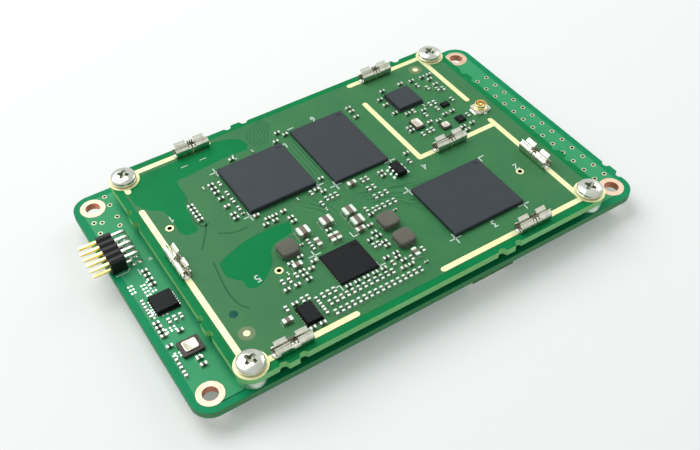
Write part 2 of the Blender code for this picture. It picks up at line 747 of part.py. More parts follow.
def make_logic_chip(level):
    """A leaded package with three bent legs on each long side."""
    at, half_x, half_y, height = package_place(logic_chip_place)
    low, waist = 0.1 * height, 0.5 * height
    draft = 0.08 * MM
    sections = ((draft, low), (0.0, waist), (draft, height))
    rings = [rectangle(half_x - inset, half_y - inset, z) for inset, z in sections]
    chip = object_of("logic_chip", loft(rings), black_mould(), level, at)
    legs = bmesh.new()
    t = lead_thickness
    bend = half_x + lead_reach - lead_foot
    outline = (
        (half_x - 2 * draft, waist - t / 2), (bend - t, waist - t / 2), (bend - t, 0.0),
        (half_x + lead_reach, 0.0), (half_x + lead_reach, t), (bend, t), (bend, waist + t / 2),
        (half_x - 2 * draft, waist + t / 2),
    )
    for side in (-1, 1):
        for column in (-1, 0, 1):
            y = column * lead_pitch
            rings = []
            for edge in (y - lead_width / 2, y + lead_width / 2):
                rings.append([(side * across, edge, up) for across, up in outline])
            add_loft(legs, rings)
    boolean(chip, "logic_chip_legs", legs, "UNION")


def make_coils(level):
    half = coil_side / 2
    sections = (
        (0.0, 0.0), (0.0, coil_flange_height), (coil_flange, coil_flange_height),
        (coil_flange, coil_height - coil_flange), (2.2 * coil_flange, coil_height),
    )
    for name, (x, y) in coil_places.items():
        rings = []
        for inset, z in sections:
            rings.append(rounded(half - inset, half - inset, coil_corner, z, 1))
        object_of(name, loft(rings), ferrite(), level, (x * MM, y * MM, seat))


def make_chip_coils(level):
    """Chip coils along X, with metal caps that stand a little proud of the body."""
    end = chip_coil_length / 2
    waist = end - chip_coil_cap
    stations = ((-end, 0.0), (-waist, 0.0), (-waist, chip_coil_step), (waist, chip_coil_step),
                (waist, 0.0), (end, 0.0))
    half = chip_coil_width / 2
    for name, (x, y) in chip_coil_places.items():
        rings = []
        for along, inset in stations:
            low, high = inset, chip_coil_height - inset
            side = half - inset
            rings.append([(along, -side, low), (along, side, low), (along, side, high),
                          (along, -side, high)])
        object_of(name, loft(rings), ferrite(), level, (x * MM, y * MM, seat))


def make_coax(level):
    half = coax_base_side / 2
    place = (coax_x, coax_y, seat)
    corner = 2 * coax_groove
    base = loft([rounded(half, half, corner, z, 1) for z in (0.0, coax_base_height)])
    object_of("coax_base", base, pale_plastic(), level, place)
    inner = coax_shell_radius - coax_shell_wall
    foot = coax_base_height + seat
    waist = foot + (coax_height - foot) * 0.35
    neck = foot + (coax_height - foot) * 0.65
    outer = coax_shell_radius
    profile = ((inner, foot), (outer, foot), (outer, waist), (outer - coax_groove, waist),
               (outer - coax_groove, neck), (outer, neck), (outer, coax_height),
               (inner, coax_height))
    shell = loft([circle(radius, z, round_sides) for radius, z in profile], True)
    object_of("coax_shell", shell, gold_plate(), level, place)
    tip = coax_height - coax_pin_radius
    profile = ((coax_pin_radius, foot), (coax_pin_radius, tip), (coax_pin_radius * 0.5, coax_height))
    pin = loft([circle(radius, z, small_round_sides) for radius, z in profile])
    object_of("coax_pin", pin, gold_plate(), level, place)


def make_header(level):
    """A notched body at the carrier's left edge, and bent pins that pass through it."""
    front_x = -carrier_half_x + header_setback
    back_x = front_x + header_body_depth
    half_length = header_columns * header_pitch / 2
    section = [(header_centre_y + half_length, seat), (header_centre_y - half_length, seat)]
    for column in range(header_columns):
        low = header_centre_y - half_length + column * header_pitch
        high = low + header_pitch
        if column == 0:
            section.append((low, header_body_height - header_notch))
        section += [(low + header_notch, header_body_height),
                    (high - header_notch, header_body_height),
                    (high, header_body_height - header_notch)]
    rings = [[(x, y, z) for y, z in section] for x in (front_x, back_x)]
    body = object_of("header_body", loft(rings), black_plastic(), level)
    bores = bmesh.new()
    half = pin_width / 2
    heights = {"upper": header_row_height + header_pitch, "lower": header_row_height}
    for column, row, leg_x, y in header_leg_places():
        z = heights[row]
        middle = (front_x + back_x) / 2
        reach = header_body_depth / 2 + overlap
        side = half + pin_clearance
        add_box(bores, middle, y, reach, side, z - side, z + side)
        pin = pin_solid(-carrier_half_x - pin_reach, leg_x, y, z)
        object_of(f"header_pin_{row}_{column + 1}", pin, gold_plate(), level)
    boolean(body, "pin_bores", bores, "DIFFERENCE")


def pin_solid(tip_x, leg_x, y, z):
    """A square wire from its tapered tip through the body to its leg, bent down into the carrier."""
    half = pin_width / 2
    foot = -carrier_thickness - pin_leg_below
    corner = half * 1.4
    sections = (
        (tip_x, z, half * 0.5, half * 0.5, 0.0),
        (tip_x + pin_taper, z, half, half, 0.0),
        (leg_x - corner, z, half, half, 0.0),
        (leg_x - half * 0.2, z - half * 0.2, half, half, math.pi / 4),
        (leg_x, z - corner, half, half, math.pi / 2),
        (leg_x, foot + pin_taper, half, half, math.pi / 2),
        (leg_x, foot, half * 0.5, half * 0.5, math.pi / 2),
    )
    rings = []
    for x, height, side, rise, turn in sections:
        up_x, up_z = math.sin(turn) * rise, math.cos(turn) * rise
        rings.append([(x + s * up_x, y + w * side, height + s * up_z)
                      for w, s in ((-1, -1), (1, -1), (1, 1), (-1, 1))])
    return loft(rings)


def port_section(inset, y, lean):
    """The shell's outline, its lower corners cut off; it leans back from y at its top edge."""
    half, top, low = port_width / 2 - inset, -inset, inset - port_height
    outline = ((-half + port_chamfer, low), (half - port_chamfer, low), (half, low + port_chamfer),
               (half, top), (-half, top), (-half, low + port_chamfer))
    return [(x, y - lean * z, z) for x, z in outline]


def make_port(level):
    """A folded metal shell with a lip over its leaning mouth, and the tongue inside it."""
    place = (port_x, carrier_front_y, -carrier_thickness - seat)
    lean = port_setback / port_height
    back = port_depth - port_wall
    rings = [
        port_section(0.0, port_depth, 0.0), port_section(0.0, 0.0, lean),
        port_section(port_wall, 0.0, lean), port_section(port_wall, back, 0.0),
    ]
    shell = object_of("port_shell", loft(rings), steel(), level, place)
    lip = bmesh.new()
    add_box(lip, 0.0, 0.0, port_lip_width / 2, port_overhang, -port_lip_thickness, 0.0)
    boolean(shell, "port_lip", lip, "UNION")
    tongue_half = port_width / 2 - port_wall - tongue_margin
    start, end = port_setback + tongue_margin, back - seat
    low, high = -(port_height + tongue_thickness) / 2, -(port_height - tongue_thickness) / 2
    shape = bmesh.new()
    add_box(shape, 0.0, (start + end) / 2, tongue_half, (end - start) / 2, low, high)
    object_of("port_tongue", shape, black_plastic(), level, place)


def trough(half_x, half_y, wall, floor, height):
    """An open box: its floor is at z = 0 and its mouth at height."""
    rings = [rectangle(half_x, half_y, 0.0), rectangle(half_x, half_y, height)]
    rings += [rectangle(half_x - wall, half_y - wall, z) for z in (height, floor)]
    return loft(rings)


def make_links(carrier_level, module_level):
    """Sockets on the carrier, and the plugs under the module that sit in them."""
    half_x, half_y = link_width / 2, link_length / 2
    tongue_x = half_x - link_wall - link_fit
    tongue_y = half_y - link_wall - link_fit
    plate = stack_gap - link_socket_height - 3 * seat
    reach = stack_gap - link_floor - link_tip_gap - 2 * seat
    for name, side in (("left", -1), ("right", 1)):
        x = side * link_x
        socket = trough(half_x, half_y, link_wall, link_floor, link_socket_height)
        object_of(f"link_socket_{name}", socket, black_plastic(), carrier_level, (x, 0.0, seat))
        rings = [
            rectangle(half_x, half_y, 0.0), rectangle(half_x, half_y, -plate),
            rectangle(tongue_x, tongue_y, -plate), rectangle(tongue_x, tongue_y, -reach),
        ]
        place = (x, 0.0, -module_thickness - seat)
        object_of(f"link_plug_{name}", loft(rings), black_plastic(), module_level, place)


def make_host_connectors(level):
    """The two connectors under the carrier that the stack plugs in with and rests on."""
    half_x, half_y = host_width / 2, host_length / 2
    height = underside_height - seat
    for name, side in (("left", -1), ("right", 1)):
        shape = trough(half_x, half_y, host_wall, host_floor, height)
        place = (side * host_x, 0.0, underside_height - seat)
        body = object_of(f"host_connector_{name}", shape, black_plastic(), level, place)
        body.scale = (1.0, 1.0, -1.0)
        rib = bmesh.new()
        rib_half = half_y - host_wall * 2
        add_box(rib, 0.0, 0.0, host_rib_width / 2, rib_half, host_floor / 2, height - host_rib_drop)
        boolean(body, f"host_rib_{name}", rib, "UNION")
        body.modifiers[0].object.scale = (1.0, 1.0, -1.0)


def main():
    clear_scene()
    left = -carrier_half_x - pin_reach
    right = carrier_half_x + stub_height
    front = min(carrier_front_y - port_overhang, -module_half_y - stub_height)
    back = max(carrier_back_y, module_half_y + stub_height)
    middle_x = (left + right) / 2
    middle_y = (front + back) / 2
    stack = empty("stack", x=-middle_x, y=-middle_y)
    carrier_level = empty("carrier_level", carrier_top, stack)
    module_level = empty("module_level", module_top, stack)
    make_carrier(carrier_level)
    make_module(module_level)
    make_fasteners(carrier_level, module_level)
    make_links(carrier_level, module_level)
    make_host_connectors(stack)
    make_port(carrier_level)
    make_header(carrier_level)
    make_clips(module_level)
    make_packages(module_level)
    for name, place in flat_packages.items():
        flat_package(name, place, module_level)
    for name, place in cans.items():
        metal_can(name, place, module_level)
    flat_package("carrier_chip", carrier_chip_place, carrier_level)
    metal_can("carrier_crystal", carrier_crystal_place, carrier_level, wide_can_rim)
    make_logic_chip(module_level)
    make_coils(module_level)
    make_chip_coils(module_level)
    make_coax(module_level)


main()
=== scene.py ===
"""Looks of a system on module on its carrier board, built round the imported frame.

Lengths are in metres. Places in the tables are in millimetres from the module's centre, as a board
layout gives them: x along the boards, y across them. Heights count from a board's top face.
"""

import math
import random

import bmesh
import bpy
from mathutils import Matrix, Vector


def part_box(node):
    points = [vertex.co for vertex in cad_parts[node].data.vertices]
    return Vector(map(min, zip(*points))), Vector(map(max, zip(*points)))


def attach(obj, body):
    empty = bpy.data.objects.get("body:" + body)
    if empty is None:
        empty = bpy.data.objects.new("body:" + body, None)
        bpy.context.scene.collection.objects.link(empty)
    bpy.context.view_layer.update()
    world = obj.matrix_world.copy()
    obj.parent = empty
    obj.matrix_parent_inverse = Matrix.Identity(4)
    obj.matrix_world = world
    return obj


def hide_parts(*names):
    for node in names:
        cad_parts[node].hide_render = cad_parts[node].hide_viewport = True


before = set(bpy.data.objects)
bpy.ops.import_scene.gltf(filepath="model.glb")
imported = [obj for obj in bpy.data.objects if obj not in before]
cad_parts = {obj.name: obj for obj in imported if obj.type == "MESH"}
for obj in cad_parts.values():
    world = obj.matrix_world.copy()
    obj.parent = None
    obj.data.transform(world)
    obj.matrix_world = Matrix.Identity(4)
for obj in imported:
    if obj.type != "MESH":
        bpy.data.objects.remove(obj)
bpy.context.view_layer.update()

MM = 0.001
CORNERS = (("front_left", -1, -1), ("front_right", 1, -1), ("back_left", -1, 1),
           ("back_right", 1, 1))
SQUARE = ((-1, -1), (1, -1), (1, 1), (-1, 1))

# Boards.
BOARD_THICKNESS = 1.2 * MM
MODULE_CORNER = 2.3 * MM
CARRIER_CORNER = 3.0 * MM
CARRIER_OFFSET_Y = 0.1 * MM
EDGE_BORDER = 1.15 * MM
POUR_STEP = 0.02 * MM
CLOTH_LAYER = 0.3 * MM
LAND_HEIGHT = 0.05 * MM
SILK_HEIGHT = 0.03 * MM
SEAT = 0.03 * MM

# What is left of the break-off tabs.
STUB_WIDTH = 1.9 * MM
STUB_HEIGHT = 0.32 * MM
BITE_WIDTH = 1.2 * MM
BITE_DEPTH = 0.42 * MM
STUB_CORNER = 0.15 * MM
MODULE_STUBS = {"front": (-24.6, 12.2), "right": (-12.0, 12.4), "back": (-8.7, 22.4),
                "left": (-12.0, 12.4)}
CARRIER_STUBS = {"right": (-17.4,)}

# Bare strips and rings.
STRIP_WIDTH = 0.92 * MM
STRIP_OUTSET = 0.55 * MM
STRIP_INSET_RIGHT = 2.0 * MM
INNER_STRIP_X = 12.4 * MM
INNER_STRIP_TOP = 16.3 * MM
MIDDLE_STRIP_Y = -0.3 * MM
SCREW_RING = 2.45 * MM
SCREW_HOLE = 1.03 * MM
TEST_HOLE = 0.4 * MM
TEST_RING = 0.65 * MM
TEST_HOLES = ((-28.2, 7.4), (23.7, -11.65), (-18.6, -8.85))

# Round shapes.
ROUND_STEPS = 48
SMALL_STEPS = 24
VIA_STEPS = 16


def middle_of(node):
    low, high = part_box(node)
    return (low + high) / 2


def size_of(node):
    low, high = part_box(node)
    return high - low


def nodes_named(*starts):
    """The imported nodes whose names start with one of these."""
    return [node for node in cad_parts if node.startswith(starts)]


SCREWS = [f"screw_{name}" for name, _, _ in CORNERS]
CENTRE = sum((middle_of(node) for node in SCREWS), Vector()) / len(SCREWS)
SCREW_X = middle_of("screw_front_right").x - CENTRE.x
SCREW_Y = middle_of("screw_back_right").y - CENTRE.y
MODULE_HALF_X = SCREW_X + MODULE_CORNER
MODULE_HALF_Y = SCREW_Y + MODULE_CORNER
MODULE_AT = Vector((CENTRE.x, CENTRE.y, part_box("module_board")[0].z + BOARD_THICKNESS))
CARRIER_AT = Vector((CENTRE.x, CENTRE.y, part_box("carrier_board")[0].z + BOARD_THICKNESS))
STACK_GAP = MODULE_AT.z - BOARD_THICKNESS - CARRIER_AT.z
CARRIER_HALF_Y = size_of("carrier_board").y / 2
CARRIER_HALF_X = CENTRE.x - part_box("carrier_board")[0].x
CARRIER_HOLE_X = CARRIER_HALF_X - CARRIER_CORNER
CARRIER_HOLE_Y = CARRIER_HALF_Y - CARRIER_CORNER


def shade(red, green, blue):
    """A colour in 0 to 255 display values, as the linear values that shaders use."""
    parts = [value / 255 for value in (red, green, blue)]
    return (*[p / 12.92 if p < 0.04 else ((p + 0.055) / 1.055) ** 2.4 for p in parts], 1.0)


def new_group(name, inputs, outputs):
    """A node group with these float inputs and their first values, a vector input, and outputs."""
    tree = bpy.data.node_groups.new(name, "ShaderNodeTree")
    tree.interface.new_socket("Vector", in_out="INPUT", socket_type="NodeSocketVector")
    for socket, value in inputs.items():
        made = tree.interface.new_socket(socket, in_out="INPUT", socket_type="NodeSocketFloat")
        made.default_value = value
    for socket in outputs:
        tree.interface.new_socket(socket, in_out="OUTPUT", socket_type="NodeSocketFloat")
    return tree, tree.nodes.new("NodeGroupInput"), tree.nodes.new("NodeGroupOutput")


def link(tree, source, target):
    tree.links.new(source, target)


def feed(tree, value, socket):
    """Gives an input its plain value, or links the socket that it comes from."""
    if isinstance(value, bpy.types.NodeSocket):
        link(tree, value, socket)
    else:
        socket.default_value = value


def new_node(tree, kind, **inputs):
    """A shader node of this kind with these inputs."""
    node = tree.nodes.new(f"ShaderNode{kind}")
    for name, value in inputs.items():
        feed(tree, value, node.inputs[name])
    return node


def math_node(tree, operation, *values):
    """A Math node's result; each value is a number or a socket."""
    node = new_node(tree, "Math")
    node.operation = operation
    for socket, value in zip(node.inputs, values):
        feed(tree, value, socket)
    return node.outputs[0]


def scaled(tree, value, factor, added):
    """A socket times a factor, and something added; each may be a number or a socket."""
    return math_node(tree, "ADD", math_node(tree, "MULTIPLY", value, factor), added)


def noise_node(tree, vector, scale, detail=3.0):
    return new_node(tree, "TexNoise", Vector=vector, Scale=scale, Detail=detail,
                    Roughness=0.55).outputs["Fac"]


def mottle_group():
    """Soft cloudy patches as a mask from 0 to 1."""
    tree, given, made = new_group("mottle", {"Scale": 400.0, "Contrast": 2.0}, ("Mask",))
    noise = noise_node(tree, given.outputs["Vector"], given.outputs["Scale"])
    centred = math_node(tree, "SUBTRACT", noise, 0.5)
    shifted = scaled(tree, centred, given.outputs["Contrast"], 0.5)
    link(tree, math_node(tree, "MAXIMUM", math_node(tree, "MINIMUM", shifted, 1.0), 0.0),
         made.inputs["Mask"])
    return tree


def speckle_group():
    """Small scattered grains: 1 in the middle of some of them and 0 elsewhere."""
    tree, given, made = new_group("speckle", {"Scale": 8000.0, "Amount": 0.3}, ("Mask",))
    cells = new_node(tree, "TexVoronoi", Vector=given.outputs["Vector"],
                     Scale=given.outputs["Scale"])
    chosen = math_node(tree, "LESS_THAN", cells.outputs["Color"], given.outputs["Amount"])
    near = math_node(tree, "LESS_THAN", cells.outputs["Distance"], 0.34)
    link(tree, math_node(tree, "MULTIPLY", chosen, near), made.inputs["Mask"])
    return tree


def weave_group():
    """Glass cloth under the mask: two sets of threads that cross, as a height from 0 to 1."""
    tree, given, made = new_group("glass_weave", {"Pitch": 0.0005}, ("Height",))
    parts = new_node(tree, "SeparateXYZ", Vector=given.outputs["Vector"])
    waves = []
    for axis in ("X", "Y"):
        turns = math_node(tree, "DIVIDE", parts.outputs[axis], given.outputs["Pitch"])
        waves.append(math_node(tree, "SINE", math_node(tree, "MULTIPLY", turns, 2 * math.pi)))
    both = math_node(tree, "MULTIPLY", *waves)
    link(tree, scaled(tree, both, 0.5, 0.5), made.inputs["Height"])
    return tree


def scratch_group():
    """Fine rubbed lines in mixed directions, as a mask from 0 to 1."""
    tree, given, made = new_group("fine_scratches", {"Scale": 900.0}, ("Mask",))
    total = None
    for turn in (0.35, 1.9, 2.7):
        place = new_node(tree, "Mapping", Vector=given.outputs["Vector"], Rotation=(0.0, 0.0, turn),
                         Scale=(1.0, 18.0, 1.0))
        line = noise_node(tree, place.outputs["Vector"], given.outputs["Scale"], 2.0)
        total = line if total is None else math_node(tree, "MAXIMUM", total, line)
    link(tree, math_node(tree, "MULTIPLY", math_node(tree, "SUBTRACT", total, 0.55), 4.0),
         made.inputs["Mask"])
    return tree


GROUPS = {"mottle": mottle_group(), "speckle": speckle_group(), "weave": weave_group(),
          "scratches": scratch_group()}


class Finish:
    """A material under way: its node tree, its shader and the object's own coordinates."""

    def __init__(self, name, roughness=0.4, metallic=0.0, ior=1.5, sheen=0.5):
        self.material = bpy.data.materials.new(name)
        self.material.use_nodes = True
        self.tree = self.material.node_tree
        self.shader = self.tree.nodes["Principled BSDF"]
        self.place = new_node(self.tree, "TexCoord").outputs["Object"]
        for socket, value in (("Roughness", roughness), ("Metallic", metallic), ("IOR", ior),
                              ("Specular IOR Level", sheen)):
            self.shader.inputs[socket].default_value = value

    def group(self, kind, output, **values):
        node = new_node(self.tree, "Group")
        node.node_tree = GROUPS[kind]
        for socket, value in (("Vector", self.place), *values.items()):
            feed(self.tree, value, node.inputs[socket])
        return node.outputs[output]

    def clouds(self, scale, contrast):
        return self.group("mottle", "Mask", Scale=scale, Contrast=contrast)

    def blend(self, mask, first, second, strength=1.0):
        """A colour between two, each a display colour or a socket, by a mask."""
        node = new_node(self.tree, "Mix")
        node.data_type = "RGBA"
        feed(self.tree, math_node(self.tree, "MULTIPLY", mask, strength), node.inputs["Factor"])
        for socket, colour in (("A", first), ("B", second)):
            target = [s for s in node.inputs if s.name == socket and s.type == "RGBA"][0]
            feed(self.tree, shade(*colour) if isinstance(colour, tuple) else colour, target)
        return [s for s in node.outputs if s.type == "RGBA"][0]

    def colour(self, socket):
        link(self.tree, socket, self.shader.inputs["Base Color"])

    def vary_roughness(self, mask, low, high):
        link(self.tree, scaled(self.tree, mask, high - low, low), self.shader.inputs["Roughness"])

    def relief(self, height, depth, strength=1.0):
        node = new_node(self.tree, "Bump", Distance=depth, Strength=strength, Height=height)
        link(self.tree, node.outputs["Normal"], self.shader.inputs["Normal"])


def mask_finish(name, light, dark, sheen=0.35):
    """Solder mask: a clear green lacquer with a faint weave under it and a few dust specks."""
    made = Finish(name, ior=1.42, sheen=sheen)
    patches, grain = made.clouds(170.0, 2.4), made.clouds(2600.0, 1.6)
    dust = made.group("speckle", "Mask", Scale=1400.0, Amount=0.012)
    fine = made.blend(grain, made.blend(patches, light, dark), dark, 0.18)
    made.colour(made.blend(dust, fine, (190, 215, 195), 0.35))
    made.vary_roughness(grain, 0.30, 0.42)
    weave = made.group("weave", "Height", Pitch=0.52 * MM)
    made.relief(scaled(made.tree, weave, 0.3, grain), 0.006 * MM, 0.5)
    return made.material


def laminate_finish(name, light, dark):
    """Cut glass-epoxy edge: green or pale yellow-green, with layers and stray fibres."""
    made = Finish(name, 0.65)
    parts = new_node(made.tree, "SeparateXYZ", Vector=made.place)
    turns = math_node(made.tree, "MULTIPLY", parts.outputs["Z"], 2 * math.pi / CLOTH_LAYER)
    layers = math_node(made.tree, "SINE", turns)
    bands = scaled(made.tree, layers, 0.5, 0.5)
    patches, fibres = made.clouds(500.0, 2.0), made.clouds(5000.0, 2.5)
    banded = made.blend(bands, made.blend(patches, light, dark), (60, 140, 84), 0.12)
    made.colour(made.blend(fibres, banded, (176, 200, 150), 0.2))
    made.relief(fibres, 0.02 * MM)
    return made.material


def mould_finish(name, light, dark, roughness=0.5, grain_scale=9000.0, sheen=0.3):
    """Epoxy mould compound: near black with fine filler grains."""
    made = Finish(name, roughness, sheen=sheen)
    patches, grain = made.clouds(320.0, 1.6), made.clouds(grain_scale, 2.2)
    filler = made.group("speckle", "Mask", Scale=grain_scale, Amount=0.1)
    grained = made.blend(grain, made.blend(patches, dark, light), dark, 0.35)
    made.colour(made.blend(filler, grained, (120, 124, 130), 0.25))
    made.vary_roughness(grain, roughness - 0.06, roughness + 0.1)
    made.relief(grain, 0.01 * MM, 0.6)
    return made.material


def metal_finish(name, light, dark, roughness, relief_depth=0.006 * MM, scale=700.0, rubbed=0.25):
    """Plated or tinned metal: cloudy, with fine rubbed lines and a soft uneven surface."""
    made = Finish(name, roughness, 1.0)
    patches, grain = made.clouds(scale, 2.2), made.clouds(scale * 5, 1.8)
    lines = made.group("scratches", "Mask", Scale=scale)
    made.colour(made.blend(lines, made.blend(patches, light, dark), dark, rubbed))
    made.vary_roughness(grain, max(roughness - 0.1, 0.08), roughness + 0.12)
    made.relief(math_node(made.tree, "ADD", patches, grain), relief_depth, 0.7)
    return made.material


def plastic_finish(name, light, dark, roughness=0.45, sheen=0.4):
    """Moulded plastic or glazed ceramic, a little cloudy and grained."""
    made = Finish(name, roughness, sheen=sheen)
    grain = made.clouds(6000.0, 2.0)
    made.colour(made.blend(made.clouds(600.0, 1.8), light, dark))
    made.vary_roughness(grain, roughness - 0.08, roughness + 0.08)
    made.relief(grain, 0.008 * MM, 0.5)
    return made.material


def silk_finish():
    """Screen-printed ink: slightly uneven, with the mask showing through its thin spots."""
    made = Finish("white_legend_ink", 0.6)
    thin = made.clouds(4200.0, 3.0)
    made.colour(made.blend(thin, (240, 250, 242), (196, 232, 210), 0.6))
    made.relief(thin, 0.01 * MM)
    return made.material


# Colours are in 0 to 255 display values: first the lighter tint, then the darker one.
MASK_BARE = mask_finish("green_mask_over_laminate", (6, 146, 82), (8, 134, 74), 0.1)
MASK_POUR = mask_finish("green_mask_over_copper", (66, 136, 80), (56, 128, 78), 0.3)
MASK_CARRIER = mask_finish("carrier_mask_over_copper", (62, 176, 118), (52, 166, 110), 0.25)
MASK_CARRIER_EDGE = mask_finish("carrier_mask_over_laminate", (12, 160, 104), (10, 146, 94), 0.12)
MASK_TRACE = mask_finish("green_mask_over_trace", (92, 156, 104), (84, 148, 98), 0.2)
MASK_GAP = mask_finish("green_mask_between_traces", (36, 112, 70), (32, 104, 64), 0.2)
MASK_SEAM = mask_finish("green_mask_over_seam", (46, 116, 70), (42, 110, 68), 0.2)
MASK_HALO = mask_finish("bare_laminate_round_mark", (128, 150, 108), (112, 140, 98))
MASK_PLUG = mask_finish("teal_plugged_hole", (22, 98, 84), (18, 88, 76), 0.15)
LAMINATE = laminate_finish("cut_laminate", (134, 226, 150), (150, 222, 124))
LAMINATE_CARRIER = laminate_finish("green_cut_laminate", (12, 128, 74), (20, 132, 74))
MOULD = mould_finish("grey_mould_compound", (54, 62, 68), (46, 53, 58), 0.42)
MOULD_BLACK = mould_finish("black_mould_compound", (26, 28, 30), (16, 18, 20), 0.4, 9000.0, 0.14)
FERRITE = mould_finish("pressed_ferrite", (124, 123, 112), (104, 102, 93), 0.62, 5200.0, 0.2)
COIL_BODY = mould_finish("wound_chip_body", (148, 136, 122), (120, 108, 96), 0.5, 5200.0)
GOLD_STRIP = metal_finish("pale_gold_land", (228, 226, 184), (218, 214, 164), 0.55, 0.008 * MM, 300.0,
                          0.1)
GOLD = metal_finish("gold_plate", (246, 230, 166), (226, 204, 126), 0.26)
GOLD_PALE = metal_finish("pale_gold_plate", (244, 228, 178), (218, 196, 138), 0.24)
# Painted shade: a near-black plating on the walls of the small holes, for the shade deep inside them.
PAINTED_SHADE_BORE = metal_finish("shadowed_hole_plating", (62, 52, 36), (30, 24, 16), 0.6)
COPPER_BORE = metal_finish("copper_hole_wall", (226, 158, 128), (196, 124, 94), 0.35)
COPPER_RING = metal_finish("pink_plated_ring", (226, 198, 176), (210, 172, 148), 0.45)
VIA_PLATE = metal_finish("dull_via_plating", (202, 200, 172), (176, 176, 148), 0.5)
TIN = metal_finish("matte_tin", (228, 238, 224), (198, 212, 198), 0.36)
TIN_BRIGHT = metal_finish("bright_tin", (240, 240, 232), (214, 214, 204), 0.28)
LID = metal_finish("brushed_lid", (226, 218, 204), (192, 180, 166), 0.34, 0.003 * MM, 900.0, 0.5)
SOLDER = metal_finish("solder", (232, 234, 228), (196, 200, 192), 0.22, 0.014 * MM, 1500.0)
# Duller, darker solder: partly a real dull finish, partly painted shade at the feet of chips, coils and
# flat packages.
DULL_SOLDER_AND_SHADE = metal_finish("dull_solder_and_painted_shade", (160, 176, 158), (122, 140, 120), 0.4)
STEEL = metal_finish("bright_plated_steel", (228, 228, 215), (182, 182, 166), 0.2, 0.003 * MM, 900.0,
                     0.4)
SCREW_STEEL = metal_finish("screw_steel", (214, 216, 206), (172, 174, 162), 0.15, 0.0012 * MM, 300.0,
                           0.2)
# Painted shade: a darker steel that stands in for the shade inside the screws' cross recesses and
# between the clips' far arms.
PAINTED_SHADE_STEEL = metal_finish("painted_shade_steel", (150, 152, 138), (98, 100, 86), 0.3)
CERAMIC_OLIVE = plastic_finish("olive_ceramic", (110, 124, 98), (86, 100, 76), 0.4)
CERAMIC = plastic_finish("brown_ceramic", (150, 134, 118), (118, 104, 88), 0.4)
CERAMIC_DARK = plastic_finish("dark_ceramic", (66, 62, 54), (46, 42, 36), 0.4)
RESISTOR = plastic_finish("black_glaze", (72, 84, 74), (54, 66, 58), 0.3)
BLACK_PLASTIC = plastic_finish("black_plastic", (20, 20, 22), (12, 12, 14), 0.42, 0.3)
PALE_PLASTIC = plastic_finish("cream_plastic", (236, 232, 216), (220, 214, 196), 0.5)
SILK = silk_finish()


def loft(shape, rings, finish=0, cyclic=False, capped=True):
    """Adds a skin through rings of points, capped at both ends or joined end to end."""
    lines = [[shape.verts.new(point) for point in ring] for ring in rings]
    pairs = list(zip(lines, lines[1:]))
    faces = []
    if cyclic:
        pairs.append((lines[-1], lines[0]))
    elif capped:
        faces += [shape.faces.new(lines[0]), shape.faces.new(lines[-1])]
    for low, high in pairs:
        for i in range(len(low)):
            j = (i + 1) % len(low)
            faces.append(shape.faces.new((low[i], low[j], high[j], high[i])))
    for face in faces:
        face.material_index = finish


def arc(radius, first, sweep, steps, x=0.0, y=0.0):
    """Points along an arc, with both of its ends."""
    turns = [first + sweep * i / steps for i in range(steps + 1)]
    return [(x + radius * math.cos(a), y + radius * math.sin(a)) for a in turns]


def circle(radius, z, steps=ROUND_STEPS, x=0.0, y=0.0):
    turns = [2 * math.pi * (i + 0.5) / steps for i in range(steps)]
    return [(x + radius * math.cos(a), y + radius * math.sin(a), z) for a in turns]


def rounded(half_x, half_y, radius, z, steps=4, x=0.0, y=0.0):
    """A rectangle with round corners, each an arc of this many steps."""
    points = []
    for corner, (sx, sy) in enumerate(SQUARE):
        points += arc(radius, math.pi * (1 + corner / 2), math.pi / 2, steps,
                      x + sx * (half_x - radius), y + sy * (half_y - radius))
    return [(*point, z) for point in points]


def layered(shape, half_x, half_y, corner, levels, steps=4, x=0.0, y=0.0):
    """A block with round corners; each level is how far in its ring is and how high."""
    loft(shape, [rounded(half_x - inset, half_y - inset, corner, z, steps, x, y)
                 for inset, z in levels])


def turned(shape, profile, steps=ROUND_STEPS, x=0.0, y=0.0, z=0.0, finish=0, cyclic=False):
    """A turned shape from its profile of radius and height."""
    rings = [circle(radius, z + up, steps, x, y) for radius, up in profile]
    loft(shape, rings, finish, cyclic)


def block(shape, x, y, half_x, half_y, low, high, edge=0.0, finish=0):
    """A block whose upright and top edges are rounded off by edge."""
    if edge:
        corner = edge * 1.2
        rings = [rounded(half_x, half_y, corner, low, 2, x, y),
                 rounded(half_x, half_y, corner, high - edge, 2, x, y),
                 rounded(half_x - edge * 0.3, half_y - edge * 0.3, corner, high - edge * 0.3, 2, x, y),
                 rounded(half_x - edge, half_y - edge, corner * 0.4, high, 2, x, y)]
    else:
        rings = [[(x + sx * half_x, y + sy * half_y, z) for sx, sy in SQUARE] for z in (low, high)]
    loft(shape, rings, finish)


def mesh_of(shape, name):
    """A mesh of this bmesh with its faces turned outward; the bmesh itself is freed."""
    bmesh.ops.recalc_face_normals(shape, faces=shape.faces)
    mesh = bpy.data.meshes.new(name)
    shape.to_mesh(mesh)
    shape.free()
    return mesh


def plate(shape, loops, low, high, finish=0, side=None):
    """Adds a flat plate between two levels; the loops after the first are holes through it."""
    flat = bmesh.new()
    edges = []
    for loop in loops:
        verts = [flat.verts.new((x, y, low)) for x, y in loop]
        edges += [flat.edges.new(pair) for pair in zip(verts, verts[1:] + verts[:1])]
    bmesh.ops.triangle_fill(flat, edges=edges, use_beauty=True, normal=(0, 0, 1))
    made = bmesh.ops.extrude_face_region(flat, geom=list(flat.faces), use_keep_orig=True)
    for item in made["geom"]:
        if isinstance(item, bmesh.types.BMVert):
            item.co.z = high
    bmesh.ops.recalc_face_normals(flat, faces=flat.faces)
    for face in flat.faces:
        upright = abs(face.normal.z) < 0.5
        face.material_index = side if upright and side is not None else finish
    mesh = mesh_of(flat, "plate")
    shape.from_mesh(mesh)
    bpy.data.meshes.remove(mesh)


